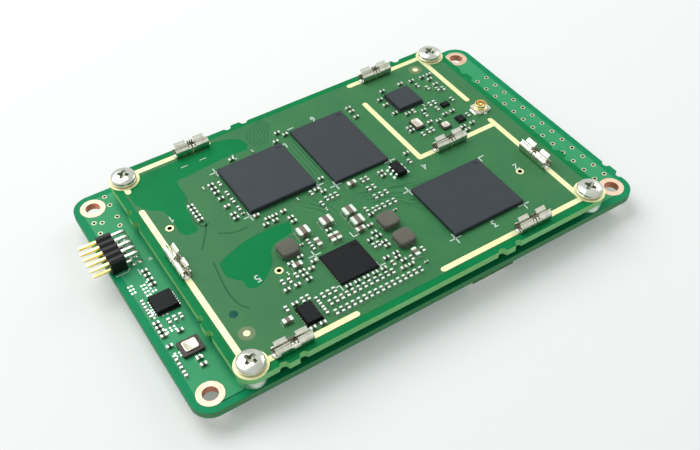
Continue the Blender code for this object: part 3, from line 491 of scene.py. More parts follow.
def curve(before, at, after, share, steps):
    """A short curve in place of a corner, over this share of the lines on both sides."""
    start, end = at.lerp(before, share), at.lerp(after, share)
    return [start * (1 - t) ** 2 + at * 2 * t * (1 - t) + end * t ** 2
            for t in (k / steps for k in range(steps + 1))]


def bent(points, steps=3, share=0.4):
    """An open line whose inner corners are rounded into short curves."""
    points = [Vector(point) for point in points]
    made = [points[0]]
    for corner in zip(points, points[1:], points[2:]):
        made += curve(*corner, share, steps)
    return [*made, points[-1]]


def softened(points, steps=4, share=0.24):
    """A closed outline whose corners are cut into short curves."""
    points = [Vector(point) for point in points]
    made = []
    for corner in zip([points[-1], *points], points, [*points[1:], points[0]]):
        made += curve(*corner, share, steps)
    return [tuple(point) for point in made]


def offsets(points, half):
    """Points on both sides of an open line, half a width away, with mitred corners."""
    sides = []
    for i, at in enumerate(points):
        before = (at - points[i - 1]).normalized() if i else None
        after = (points[i + 1] - at).normalized() if i < len(points) - 1 else None
        along = (before or after) + (after or before)
        along.normalize()
        reach = half / max(along.dot(after or before), 0.5)
        normal = Vector((-along.y, along.x))
        sides.append((at + normal * reach, at - normal * reach))
    return sides


def ribbon(shape, points, width, low, high, finish=0):
    """A flat strip of even width that lies along a line on a board."""
    sides = offsets([Vector(point) for point in points], width / 2)
    loft(shape, [[(*left, low), (*right, low), (*right, high), (*left, high)]
                 for left, right in sides], finish)


def folded_sheet(shape, line, start, end, sheet, finish=0, along="x"):
    """Sheet or wire bent along a line of across and up, between two places along X or Y."""
    rings = []
    for outer, inner in offsets([Vector(point) for point in line], sheet / 2):
        corners = ((start, outer), (end, outer), (end, inner), (start, inner))
        if along == "x":
            rings.append([(place, across, up) for place, (across, up) in corners])
        else:
            rings.append([(across, place, up) for place, (across, up) in corners])
    loft(shape, rings, finish)


def turned_part(mesh, turn):
    """A copy of the mesh, turned about its upright axis."""
    made = mesh.copy()
    made.transform(Matrix.Rotation(turn, 4, "Z"))
    return made


def new_object(name, data):
    """An object of this data, put in the scene."""
    made = bpy.data.objects.new(name, data)
    bpy.context.collection.objects.link(made)
    return made


def piece(name, shape, finishes, replaced=(), at=(0.0, 0.0, 0.0), sharp=32):
    """Makes a piece of the object from this bmesh or mesh, riding on the one body."""
    mesh = mesh_of(shape, name) if isinstance(shape, bmesh.types.BMesh) else shape
    if not mesh.materials:
        for finish in finishes:
            mesh.materials.append(finish)
    mesh.shade_smooth()
    mesh.set_sharp_from_angle(angle=math.radians(sharp))
    made = new_object(name, mesh)
    made.location = at
    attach(made, "root")
    if replaced:
        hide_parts(*replaced)
    return made


def combined(base, steps):
    """The mesh of a bmesh after these Booleans: pairs of operation and bmesh."""
    target = new_object("helper", mesh_of(base, "helper"))
    helpers = [target]
    for operation, shape in steps:
        helpers.append(new_object("helper", mesh_of(shape, "helper")))
        step = target.modifiers.new(operation.lower(), "BOOLEAN")
        step.operation = operation
        step.solver = "EXACT"
        step.object = helpers[-1]
    graph = bpy.context.evaluated_depsgraph_get()
    mesh = bpy.data.meshes.new_from_object(target.evaluated_get(graph))
    for made in helpers:
        bpy.data.objects.remove(made, do_unlink=True)
    return mesh


def stub_points():
    """Half-round bites either side of a short stub, as distances along and out of an edge."""
    points = []
    for side in (-1, 1):
        bite = side * (STUB_WIDTH + BITE_WIDTH) / 2
        arc = []
        for i in range(9):
            a = math.pi * (1 - i / 8)
            arc.append((bite + BITE_WIDTH / 2 * math.cos(a), -BITE_DEPTH * math.sin(a)))
        tip = (side * (STUB_WIDTH / 2 - STUB_CORNER), STUB_HEIGHT)
        points += arc + [tip] if side < 0 else [tip] + arc
    return points


def board_outline(half_x, half_y, radius, stubs, inset=0.0, steps=12):
    """Counter-clockwise outline with round corners and the stubs of each edge."""
    half_x, half_y, radius = half_x - inset, half_y - inset, max(radius - inset, 0.4 * MM)
    edges = (("front", 1, 0, half_y), ("right", 0, 1, half_x), ("back", -1, 0, half_y),
             ("left", 0, -1, half_x))
    points = []
    for index, (name, ax, ay, reach) in enumerate(edges):
        sx, sy = SQUARE[index]
        points += arc(radius, math.pi * (1 + index / 2), math.pi / 2, steps,
                      sx * (half_x - radius), sy * (half_y - radius))
        direction = ax + ay
        for centre in sorted(stubs.get(name, ()), key=lambda place: place * direction):
            for forward, outward in stub_points():
                s, d = centre * MM * direction + forward, reach + outward
                points.append((ax * s + ay * d, ay * s - ax * d))
    return points


def hole(radius, x, y, steps=VIA_STEPS):
    """A round outline, flat."""
    return [(px, py) for px, py, _ in circle(radius, 0.0, steps, x, y)]


def spots(table):
    """Places in metres from a table in millimetres."""
    return [(x * MM, y * MM) for x, y in table]


def strip_ends():
    """The bare shield-ground strips, each from one end of its centre line to the other."""
    back, front = SCREW_Y + STRIP_OUTSET, -SCREW_Y - STRIP_OUTSET
    left, right = -SCREW_X - STRIP_OUTSET, SCREW_X - STRIP_INSET_RIGHT
    return (
        ((-SCREW_X, back), (-14.8 * MM, back)),
        ((INNER_STRIP_X + STRIP_WIDTH / 2, back), (SCREW_X, back)),
        ((left, 12.8 * MM), (left, -SCREW_Y)),
        ((left, SCREW_Y), (left, SCREW_Y - 3.0 * MM)),
        ((-SCREW_X, front), (-13.55 * MM, front)),
        ((1.35 * MM, front), (SCREW_X, front)),
        ((right, -SCREW_Y), (right, 0.85 * MM)),
        ((right, 7.3 * MM), (right, SCREW_Y)),
        ((INNER_STRIP_X, MIDDLE_STRIP_Y), (right, MIDDLE_STRIP_Y)),
        ((INNER_STRIP_X, MIDDLE_STRIP_Y), (INNER_STRIP_X, INNER_STRIP_TOP - STRIP_WIDTH / 2)),
    )


def strip_outline(start, end, z, steps=10):
    """A strip with round ends about its centre line."""
    turn = math.atan2(end[1] - start[1], end[0] - start[0])
    points = arc(STRIP_WIDTH / 2, turn - math.pi / 2, math.pi, steps, *end)
    points += arc(STRIP_WIDTH / 2, turn + math.pi / 2, math.pi, steps, *start)
    return [(*point, z) for point in points]


def screw_places():
    """Each screw's corner and its place from the module's centre."""
    return [(name, sx * SCREW_X, sy * SCREW_Y) for name, sx, sy in CORNERS]


# Areas of the module where the mask lies on bare laminate, as rounded outlines.
BARE_AREAS = {
    "left": ((-27.0, 20.5), (-25.5, 20.5), (-22.9, 20.4), (-20.9, 20.5), (-18.5, 20.4), (-16.1, 20.3),
             (-15.2, 21.2), (-13.6, 21.3), (-11.1, 20.6), (-9.5, 19.2), (-9.4, 17.6), (-10.2, 16.7),
             (-11.7, 16.8), (-14.0, 16.9), (-16.3, 16.7), (-18.6, 16.5), (-21.1, 16.2),
             (-22.9, 16.3), (-23.1, 14.5), (-23.1, 12.4), (-24.0, 10.9), (-24.4, 8.6), (-24.7, 6.7),
             (-24.6, 4.9), (-25.2, 4.6), (-26.7, 4.6), (-27.3, 5.8), (-27.1, 8.3), (-27.2, 10.1),
             (-27.6, 11.4), (-28.9, 12.3), (-29.9, 13.4), (-30.6, 15.0), (-30.6, 18.0), (-30.0, 20.9)),
    "middle": ((-12.3, -1.1), (-14.1, -0.9), (-15.9, -0.8), (-17.6, -0.8), (-19.6, -1.0),
               (-21.3, -1.4), (-23.3, -2.1), (-25.2, -3.0), (-25.4, -4.2), (-25.5, -5.7), (-24.6, -7.0),
               (-23.9, -7.7), (-23.9, -9.2), (-22.9, -9.9), (-21.6, -9.6), (-19.7, -8.2),
               (-18.5, -6.9), (-17.8, -5.0), (-16.6, -3.9), (-14.9, -3.6), (-13.2, -3.3)),
}


def make_module_board():
    """The module's laminate, its mask over bare laminate and over copper, and the bare lands."""
    outline = board_outline(MODULE_HALF_X, MODULE_HALF_Y, MODULE_CORNER, MODULE_STUBS)
    screws = [hole(SCREW_HOLE, x, y, ROUND_STEPS) for _, x, y in screw_places()]
    tests = [hole(TEST_HOLE, x, y, SMALL_STEPS) for x, y in spots(TEST_HOLES)]
    board = bmesh.new()
    plate(board, [outline, *screws, *tests], -BOARD_THICKNESS, -POUR_STEP, 0, 1)
    piece("module_laminate", board, (MASK_BARE, LAMINATE), ("module_board",), MODULE_AT)
    pour = bmesh.new()
    inner = board_outline(MODULE_HALF_X, MODULE_HALF_Y, MODULE_CORNER, {}, EDGE_BORDER)
    bare = [softened(spots(points)) for points in BARE_AREAS.values()]
    plate(pour, [inner, *screws, *tests, *bare], -POUR_STEP, 0.0)
    piece("module_copper_pour", pour, (MASK_POUR,), at=MODULE_AT)
    levels = (-POUR_STEP, LAND_HEIGHT)
    outlines = [[strip_outline(*ends, z) for z in levels] for ends in strip_ends()]
    outlines += [[circle(SCREW_RING, z, ROUND_STEPS, x, y) for z in levels]
                 for _, x, y in screw_places()]
    lands = []
    for rings in outlines:
        lands.append(bmesh.new())
        loft(lands[-1], rings)
    cuts = bmesh.new()
    for _, x, y in screw_places():
        loft(cuts, [circle(SCREW_HOLE, z, ROUND_STEPS, x, y) for z in (-1 * MM, 1 * MM)])
    steps = [*(("UNION", land) for land in lands[1:]), ("DIFFERENCE", cuts)]
    piece("shield_ground_strips", combined(lands[0], steps), (GOLD_STRIP,),
          at=MODULE_AT)
    rings = bmesh.new()
    bottom, bore = -BOARD_THICKNESS, TEST_HOLE * 0.9
    section = ((bore, bottom), (TEST_RING, bottom), (TEST_RING, bottom + SEAT),
               (TEST_HOLE, bottom + SEAT), (TEST_HOLE, LAND_HEIGHT * 0.5),
               (TEST_RING, LAND_HEIGHT * 0.5), (TEST_RING, LAND_HEIGHT), (bore, LAND_HEIGHT))
    for x, y in spots(TEST_HOLES):
        turned(rings, section, SMALL_STEPS, x, y, cyclic=True)
        # Painted shade: the bore's faces take the dark plating.
        for face in rings.faces:
            if (face.calc_center_median() - Vector((x, y, 0.0))).xy.length < TEST_HOLE * 0.95:
                face.material_index = 1
    piece("test_hole_rings", rings, (GOLD_STRIP, PAINTED_SHADE_BORE), at=MODULE_AT)


# Carrier's plated holes.
CARRIER_HOLE = 1.15 * MM
CARRIER_RING = 2.0 * MM
VIA_HOLE = 0.23 * MM
VIA_RING = 0.42 * MM
VIA_COLUMNS = (34.85, 36.9)
VIA_FIRST_Y = -17.5
VIA_PITCH = 2.54
VIA_ROWS = 13
LOOSE_VIAS = ((-33.2, 22.0), (-33.2, 19.8), (-33.2, 16.8), (-33.6, 14.8), (-36.8, 14.8),
              (-36.8, 17.4), (-35.7, 16.8))
BOSS_HOLE = 1.55 * MM
RING_LAP = 0.01 * MM


def carrier_vias():
    """Places of the small plated holes: two columns and a few loose ones."""
    places = [(x, VIA_FIRST_Y + i * VIA_PITCH) for x in VIA_COLUMNS for i in range(VIA_ROWS)]
    return spots(places + list(LOOSE_VIAS))


def plated_hole(shape, x, y, bore, ring, steps, finish=0, wall=1):
    """A hole's plating: a wall through the board and a flat ring on either face."""
    top, bottom = LAND_HEIGHT * 0.6, -BOARD_THICKNESS
    loft(shape, [circle(r, z, steps, x, y) for r, z in (
        (bore, top), (ring - 0.02 * MM, top), (ring, 0.0), (ring, bottom), (bore, bottom))],
         finish, False, False)
    loft(shape, [circle(bore, z, steps, x, y) for z in (bottom, top)], wall, False, False)


def make_carrier_board():
    """The carrier's laminate, its mask over copper, and the plating of its holes."""
    outline, inner = ([(x, y + CARRIER_OFFSET_Y) for x, y in board_outline(
        CARRIER_HALF_X, CARRIER_HALF_Y, CARRIER_CORNER, stubs, inset)]
        for stubs, inset in ((CARRIER_STUBS, 0.0), ({}, EDGE_BORDER)))
    corner_holes = [(sx * CARRIER_HOLE_X, sy * CARRIER_HOLE_Y + CARRIER_OFFSET_Y)
                    for _, sx, sy in CORNERS]
    holes = [hole(BOSS_HOLE, x, y, ROUND_STEPS) for _, x, y in screw_places()]
    holes += [hole(CARRIER_RING - RING_LAP, x, y, ROUND_STEPS) for x, y in corner_holes]
    holes += [hole(VIA_RING - RING_LAP, x, y, VIA_STEPS) for x, y in carrier_vias()]
    board = bmesh.new()
    plate(board, [outline, *holes], -BOARD_THICKNESS, -POUR_STEP, 0, 1)
    piece("carrier_laminate", board, (MASK_CARRIER_EDGE, LAMINATE_CARRIER),
          ("carrier_board",), CARRIER_AT)
    pour = bmesh.new()
    plate(pour, [inner, *holes], -POUR_STEP, 0.0)
    piece("carrier_copper_pour", pour, (MASK_CARRIER,), at=CARRIER_AT)
    rings = bmesh.new()
    for x, y in corner_holes:
        plated_hole(rings, x, y, CARRIER_HOLE, CARRIER_RING, ROUND_STEPS)
    piece("carrier_plated_holes", rings, (COPPER_RING, COPPER_BORE), at=CARRIER_AT)
    rings = bmesh.new()
    for x, y in carrier_vias():
        plated_hole(rings, x, y, VIA_HOLE, VIA_RING, VIA_STEPS)
    # Painted shade: the via walls take the dark plating.
    piece("carrier_signal_holes", rings, (VIA_PLATE, PAINTED_SHADE_BORE), at=CARRIER_AT)


# Chip parts: length, width and height.
CHIP_SIZES = {
    "small": (0.6 * MM, 0.3 * MM, 0.3 * MM),
    "medium": (1.0 * MM, 0.5 * MM, 0.45 * MM),
    "large": (1.6 * MM, 0.8 * MM, 0.7 * MM),
    "coil": (2.0 * MM, 1.7 * MM, 1.0 * MM),
}
CHIP_FINISHES = (CERAMIC, TIN, RESISTOR, DULL_SOLDER_AND_SHADE, CERAMIC_OLIVE, COIL_BODY)

# Rows of soldered chips: the size where it isn't medium and the long axis, the first one's x and y,
# and where there are more, the step along x and y and the count.
MODULE_ROWS = (
    ("x", -18.9, 12.2, 0, -1.02, 3), ("x", -18.9, 8.65, 0, -2.0, 2), ("x", -18.9, 4.6, 0, -0.95, 2),
    ("y", -17.6, 11.65, 0, -2.6, 2), ("y", -17.6, 7.2, 0, -2.0, 2), ("x", -13.4, 15.75),
    ("x", -5.3, 15.6), ("x", -4.05, 17.4), ("x", -3.1, 16.35), ("x", -16.1, 2.45),
    ("x", -15.0, 0.95, 1.2, 0, 2), ("x", -15.8, 0.0, 1.6, 0, 2), ("x", -12.25, 1.0),
    ("x", -11.95, -0.75, 0, -0.95, 2), ("y", -6.65, 2.0), ("x", -5.55, 2.3), ("x", -4.85, 1.35),
    ("y", -5.3, -0.35, 0.87, 0, 3), ("y", -6.45, -0.85), ("x", -3.7, 4.05), ("large x", -0.3, 0.35),
    ("y", 1.5, 0.05, 0.85, 0, 2), ("y", 1.33, -2.05, 0.95, 0, 2), ("y", 1.23, -4.1, 1.0, 0, 3),
    ("y", 1.2, -6.35, 1.0, 0, 3), ("y", -1.5, -5.65), ("x", -1.45, -6.85),
    ("y", -0.5, -6.3, 0.75, 0, 2), ("x", 4.95, 0.15, 0, -0.9, 2), ("x", 10.95, 1.6),
    ("y", 10.3, -0.35), ("x", 9.3, 16.4, 0, -1.1, 2), ("x", 9.2, 13.7),
    ("y", -12.3, -6.55, 0, -1.35, 2), ("large y", -11.2, -7.5), ("x", -8.55, -6.1),
    ("large y", -9.05, -7.95, 0.98, 0, 2), ("large x", -4.5, -8.65), ("x", -2.85, -8.65),
    ("x", -3.15, -10.2), ("x", -4.45, -11.15, 1.5, 0, 2), ("y", -4.6, -12.5, 0.75, 0, 2),
    ("x", -2.95, -12.6, 0, -0.85, 2), ("x", -4.45, -15.35, 1.65, 0, 2), ("x", -3.0, -16.15),
    ("y", -4.2, -16.8), ("x", -2.6, -17.1), ("y", -1.35, -17.4), ("large y", -0.3, -16.9),
    ("y", 0.95, -16.9), ("y", -15.6, -18.05, 0.95, 0, 12), ("y", -15.8, -19.9, 0.95, 0, 16),
    ("x", -3.4, -18.3, 1.3, 0, 2), ("y", -15.85, -16.4, 0.95, 0, 3), ("y", -16.9, -16.6, 0, -1.2, 3),
    ("x", -11.9, -16.85, 1.5, 0, 5), ("x", -16.6, -8.75), ("x", -14.8, -8.4),
    ("large x", -16.0, -9.65), ("x", -15.95, -10.9, 0, -0.85, 2), ("y", -17.1, -11.2),
    ("y", -18.35, -11.55), ("y", -19.35, -11.3), ("x", -19.5, -12.75, 1.7, 0, 2),
    ("x", -15.9, -12.75), ("x", -19.85, -15.5), ("y", -18.6, -15.55, 0.85, 0, 2),
    ("large x", -22.2, -17.6), ("y", -21.3, -15.7), ("x", -19.9, -20.45, 1.6, 0, 2),
    ("x", 16.7, 17.0, 3.8, 0, 2), ("x", 22.6, 16.6), ("x", 24.8, 16.5, 1.45, 0, 2),
    ("x", 25.6, 15.3, 0, -1.7, 2), ("y", 22.75, 14.9), ("y", 23.85, 13.4),
    ("y", 25.1, 12.2, 0.9, -0.4, 2), ("x", 15.1, 15.3, 0, -1.7, 2), ("x", 15.2, 10.9),
    ("x", 16.9, 9.6), ("y", 18.15, 9.5), ("x", 19.7, 8.9), ("y", 21.5, 9.5, 0.95, 0, 2),
    ("x", 15.0, 6.5, 0, -0.85, 2), ("y", 19.3, 7.6), ("x", 18.75, 5.8), ("x", 22.1, 6.1, 1.5, 0, 2),
    ("y", 16.0, 3.8), ("y", 17.2, 3.95, 0.8, 0, 2), ("x", 20.2, 5.3), ("x", 22.7, 1.8, 1.85, 0, 2),
    ("y", 25.2, 3.8), ("small x", -17.6, 4.0), ("x", -23.6, 9.7, 0, -0.85, 5),
    ("small y", -20.15, 12.2), ("small y", -9.6, 15.7), ("small y", -9.05, 2.1),
    ("small y", -6.45, -2.2), ("small x", 2.2, -7.95), ("small x", -13.4, -6.4),
    ("small x", 0.0, -19.1), ("small y", -17.85, -10.2), ("small y", 20.5, 9.9), ("x", -14.6, -11.2),
    ("x", -13.6, -10.2), ("y", 25.5, 8.6), ("y", 21.9, 7.9), ("x", 22.9, 0.85),
)
CARRIER_ROWS = (
    ("x", -34.3, 3.9, 0, -1.0, 4), ("y", -37.0, -1.6, 0, -1.3, 3), ("x", -36.9, -6.0, 0, -0.85, 4),
    ("y", -35.2, -6.6, 0.9, 0, 3), ("x", -34.6, -8.9), ("x", -37.0, -10.6),
    ("y", -37.2, -12.9, 0, -1.5, 3), ("x", -34.4, -14.6, 0, -1.2, 2),
)
RESISTOR_SHARE = 0.3
OLIVE_SHARE = 0.85
CAP_SHARE = 0.3
CHIP_BEVEL = 0.07
FILLET_REACH = 0.07
FILLET_RISE = 0.62
# How far out of the end a section of the fillet is, and its share of the rise.
FILLET_SECTIONS = ((-0.25, 1.0), (0.12, 0.55), (0.5, 0.22), (1.0, 0.0))
BODY_INSET = 0.012 * MM


def row_places(rows):
    """Each soldered chip of these rows: size name, axis, x and y."""
    for kind, x, y, *run in rows:
        size, axis = kind.split() if " " in kind else ("medium", kind)
        step_x, step_y, count = run or (0, 0, 1)
        for i in range(count):
            yield size, axis, (x + i * step_x) * MM, (y + i * step_y) * MM


def chamfered(half, low, high, cut):
    """A section across a chip: half width by height, with its corners cut off."""
    return [(-half + cut, low), (half - cut, low), (half, low + cut), (half, high - cut),
            (half - cut, high), (-half + cut, high), (-half, high - cut), (-half, low + cut)]


def add_chip(shape, size, axis, x, y, body_finish=0):
    """A chip part: its body, two wrapped end caps, solder fillets and the pads under them."""
    length, width, height = CHIP_SIZES[size]
    half, end, cap = width / 2, length / 2, length * CAP_SHARE
    cut, reach = width * CHIP_BEVEL, length * FILLET_REACH
    foot = half + reach * 0.3

    def ring(along, points):
        if axis == "x":
            return [(x + along, y + side, up) for side, up in points]
        return [(x - side, y + along, up) for side, up in points]

    body = chamfered(half - BODY_INSET, SEAT + BODY_INSET, height - BODY_INSET, cut * 0.5)
    full = chamfered(half, SEAT, height, cut)
    tip = chamfered(half - cut, SEAT + cut, height - cut, cut)
    pad = [(-foot, 0.0), (foot, 0.0), (foot, SEAT * 0.6), (-foot, SEAT * 0.6)]
    loft(shape, [ring(side * (end - cap), body) for side in (-1, 1)], body_finish)
    for side in (-1, 1):
        loft(shape, [ring(side * (end - cap), full), ring(side * (end - cut), full),
                     ring(side * end, tip)], 1)
        # The fillets and pads take the darker solder, partly painted shade at the chip's ends.
        sections = []
        for share, rise in FILLET_SECTIONS:
            up = height * FILLET_RISE * rise if rise else SEAT
            spread = half - cut + (foot - half) * max(share, 0.0)
            sections.append(ring(side * (end + reach * share), [
                (-spread, SEAT * 0.3), (spread, SEAT * 0.3), (spread - cut, up), (-spread + cut, up)]))
        loft(shape, sections, 3)
        loft(shape, [ring(side * (end - cap * 1.3), pad), ring(side * (end + reach * 1.25), pad)], 3)


def make_chips(name, rows, level, seed):
    """Capacitors and resistors of these rows; which is which, and their tints, are drawn."""
    pick = random.Random(seed)
    kinds = {"capacitors": bmesh.new(), "resistors": bmesh.new()}
    for size, axis, x, y in row_places(rows):
        if size == "large":
            add_chip(kinds["capacitors"], size, axis, x, y, 0)
        elif pick.random() < RESISTOR_SHARE:
            add_chip(kinds["resistors"], size, axis, x, y, 2)
        else:
            add_chip(kinds["capacitors"], size, axis, x, y, 4 if pick.random() < OLIVE_SHARE else 0)
    for kind, shape in kinds.items():
        piece(f"{name}_{kind}", shape, CHIP_FINISHES, at=level)


# Screws: the rim's points give how far out of the head's radius and how high.
HEAD_RADIUS = 2.0 * MM
HEAD_HEIGHT = 1.22 * MM
SHANK_RADIUS = 0.95 * MM
THREAD_PITCH = 0.2 * MM
TIP_LENGTH = 0.3 * MM
HEAD_RIM = ((-0.1, 0.0), (-0.02, 0.05), (0.0, 0.12), (0.0, 0.34), (-0.07, 0.39), (-0.07, 0.45),
            (0.0, 0.5), (0.0, 0.72), (-0.03, 0.8), (-0.1, 0.88), (-0.22, 0.95))
SCREW_TURNS = {"front_left": 0.5, "front_right": 0.35, "back_left": 0.9, "back_right": 0.2}
SPACER_RADIUS = 2.2 * MM
SPACER_BOSS = 1.45 * MM
SPACER_BORE = 1.03 * MM
SPACER_EDGE = 0.08 * MM
SPACER_DEPTH = 0.9 * MM


def screw_mesh():
    """A pan-head screw with a cross recess; its seat is at z = 0."""
    length = BOARD_THICKNESS + LAND_HEIGHT + STACK_GAP - TIP_LENGTH
    profile = [(0.001 * MM, -length), (SHANK_RADIUS * 0.8, -length),
               (SHANK_RADIUS, -length + THREAD_PITCH)]
    for i in range(int((length - TIP_LENGTH) / THREAD_PITCH)):
        z = -length + TIP_LENGTH + i * THREAD_PITCH
        profile += [(SHANK_RADIUS, z), (SHANK_RADIUS * 0.86, z + 0.1 * MM)]
    profile.append((SHANK_RADIUS, 0.0))
    profile += [(HEAD_RADIUS + out * MM, up * MM) for out, up in HEAD_RIM]
    profile += [(HEAD_RADIUS * 0.7, HEAD_HEIGHT - 0.12 * MM),
                (HEAD_RADIUS * 0.5, HEAD_HEIGHT - 0.05 * MM),
                (HEAD_RADIUS * 0.25, HEAD_HEIGHT - 0.01 * MM), (0.001 * MM, HEAD_HEIGHT)]
    head = bmesh.new()
    turned(head, profile)
    sections = ((0.4, 0.17, HEAD_HEIGHT - 0.5 * MM), (1.0, 0.25, HEAD_HEIGHT - 0.03 * MM),
                (1.1, 0.27, HEAD_HEIGHT + 0.1 * MM))
    rings = []
    for reach, half, z in sections:
        r, w = reach * MM, half * MM
        rings.append([])
        for c, s in ((1, 0), (0, 1), (-1, 0), (0, -1)):
            quarter = ((r, -w), (r, w), (w * 1.5, w * 1.5))
            rings[-1] += [(px * c - py * s, px * s + py * c, z) for px, py in quarter]
    recess = bmesh.new()
    loft(recess, rings)
    mesh = combined(head, [("DIFFERENCE", recess)])
    mesh.materials.clear()
    mesh.materials.append(SCREW_STEEL)
    mesh.materials.append(PAINTED_SHADE_STEEL)
    # Painted shade: the faces inside the cross recess take the darker steel.
    for face in mesh.polygons:
        if face.center.xy.length < 1.0 * MM and 0.3 * MM < face.center.z < HEAD_HEIGHT * 0.93:
            face.material_index = 1
    return mesh


def make_fasteners():
    """Screws turned to where each one was tightened, and the round spacers under the module."""
    mesh = screw_mesh()
    seat, top = LAND_HEIGHT + SEAT, STACK_GAP - SEAT
    profile = ((SPACER_BORE, -SPACER_DEPTH), (SPACER_BOSS, -SPACER_DEPTH), (SPACER_BOSS, SEAT),
               (SPACER_RADIUS - SPACER_EDGE, SEAT), (SPACER_RADIUS, SEAT + SPACER_EDGE),
               (SPACER_RADIUS, top - SPACER_EDGE), (SPACER_RADIUS - SPACER_EDGE, top),
               (SPACER_BORE, top))
    for name, x, y in screw_places():
        at = MODULE_AT + Vector((x, y, seat))
        piece(f"pan_screw_{name}", turned_part(mesh, SCREW_TURNS[name]), (),
              (f"screw_{name}",), at, sharp=40)
        shape = bmesh.new()
        turned(shape, profile, cyclic=True)
        piece(f"threaded_spacer_{name}", shape, (TIN,), (f"spacer_{name}",),
              CARRIER_AT + Vector((x, y, 0.0)))


def local_place(node, level):
    """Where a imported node's middle is on its board, and its height over that board."""
    low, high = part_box(node)
    return (low.x + high.x) / 2 - level.x, (low.y + high.y) / 2 - level.y, high.z - level.z


# Shield clips, each one folded strip. Its lines give across and up, in millimetres: the near and far
# walls of the foot, the spring arms on them with their pinch and flared lip, the three legs between
# the far arms, and the two curls between the near ones. The spans give where each is along the clip.
CLIP_SHEET = 0.13 * MM
CLIP_NEAR = ((0.0, 0.07), (0.6, 0.07), (0.78, 0.16), (0.82, 0.5), (0.81, 1.16))
CLIP_FAR = ((0.0, 0.07), (0.6, 0.07), (0.76, 0.16), (0.78, 0.5), (0.74, 0.98))
CLIP_NEAR_ARM = ((0.82, 0.9), (0.81, 1.18), (0.66, 1.38), (0.24, 1.52), (0.18, 1.62), (0.4, 1.9))
CLIP_FAR_ARM = ((0.75, 0.85), (0.72, 1.12), (0.26, 1.38), (0.18, 1.5), (0.52, 1.78), (0.8, 1.92))
CLIP_LOOP = ((0.75, 0.85), (0.66, 1.2), (0.3, 1.36), (0.2, 1.56), (0.34, 1.9))
CLIP_CURL = ((0.82, 0.9), (0.8, 1.12), (0.56, 1.4), (0.3, 1.36), (0.24, 1.2))
CLIP_NEAR_SPANS = ((-2.9, -0.08), (0.08, 2.9))
CLIP_FAR_SPANS = ((-2.95, 2.95),)
CLIP_NEAR_ARM_SPANS = ((-2.9, -0.62), (0.62, 2.9))
CLIP_ARM_SPANS = ((-2.6, -0.72), (0.72, 2.5))
CLIP_LEG_SPANS = ((-0.5, -0.26), (-0.1, 0.1), (0.26, 0.5))
CLIP_CURL_SPANS = ((-0.44, -0.14), (0.14, 0.44))
CLIP_SOLDER = ((0.5, 0.0), (0.48, 0.12), (0.36, 0.26), (0.2, 0.33), (0.04, 0.35))
CLIP_SOLDER_X = 2.75 * MM


def clip_mesh():
    """A shield clip along X: two walls with spring arms, legs and curls, and solder at its ends."""
    shape = bmesh.new()

    def fold(line, side, spans, finish=0):
        bends = bent([(side * across * MM, up * MM) for across, up in line])
        for start, end in spans:
            folded_sheet(shape, bends, start * MM, end * MM, CLIP_SHEET, finish)

    fold(CLIP_NEAR, -1, CLIP_NEAR_SPANS)
    fold(CLIP_NEAR_ARM, -1, CLIP_NEAR_ARM_SPANS)
    fold(CLIP_CURL, -1, CLIP_CURL_SPANS)
    fold(CLIP_FAR, 1, CLIP_FAR_SPANS)
    fold(CLIP_FAR_ARM, 1, CLIP_ARM_SPANS)
    # Painted shade: the middle legs are in the darker steel, for the shade between the far arms.
    fold(CLIP_LOOP, 1, CLIP_LEG_SPANS, 2)
    for side in (-1, 1):
        turned(shape, spots(CLIP_SOLDER), SMALL_STEPS, side * CLIP_SOLDER_X, finish=1)
    mesh = mesh_of(shape, "clip")
    for finish in (STEEL, SOLDER, PAINTED_SHADE_STEEL):
        mesh.materials.append(finish)
    return mesh


def make_clips():
    """The seven clips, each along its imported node's long side."""
    mesh = clip_mesh()
    for node in nodes_named("shield_clip"):
        x, y, _ = local_place(node, MODULE_AT)
        size = size_of(node)
        turn = 0.0 if size.x > size.y else -math.pi / 2
        at = MODULE_AT + Vector((x, y, LAND_HEIGHT + SEAT * 0.5))
        piece(node.replace("shield", "spring"), turned_part(mesh, turn), (),
              (node,), at, sharp=40)


COIL_CORNER = 0.72 * MM
COIL_BASE = ((0.1 * MM, SEAT), (0.06 * MM, 0.05 * MM), (0.06 * MM, 0.13 * MM), (0.1 * MM, 0.16 * MM))


def make_coils():
    """Moulded coils with soft top edges on a metal-edged base, and chip coils with end caps."""
    moulded, bases, chips = bmesh.new(), bmesh.new(), bmesh.new()
    nodes, chip_nodes = nodes_named("coil_"), nodes_named("chip_coil_")
    for node in nodes:
        x, y, high = local_place(node, MODULE_AT)
        half = size_of(node).x / 2
        layered(bases, half, half, COIL_CORNER, COIL_BASE, 3, x, y)
        body = ((0.1 * MM, 0.14 * MM), (0.02 * MM, 0.26 * MM), (0.02 * MM, high - 0.22 * MM),
                (0.07 * MM, high - 0.1 * MM), (0.16 * MM, high - 0.03 * MM), (0.3 * MM, high))
        layered(moulded, half, half, COIL_CORNER, body, 5, x, y)
    for node in chip_nodes:
        x, y, _ = local_place(node, MODULE_AT)
        add_chip(chips, "coil", "x", x, y, 5)
    piece("moulded_coils", moulded, (FERRITE,), nodes, MODULE_AT, sharp=45)
    # The coil bases take the darker solder, partly painted shade under the coils.
    piece("coil_bases", bases, (DULL_SOLDER_AND_SHADE,), at=MODULE_AT)
    piece("chip_coils", chips, CHIP_FINISHES, chip_nodes, MODULE_AT)


LEG_PITCH = 0.95 * MM
LEG_HALF = 0.2 * MM
LEG_SHEET = 0.14 * MM


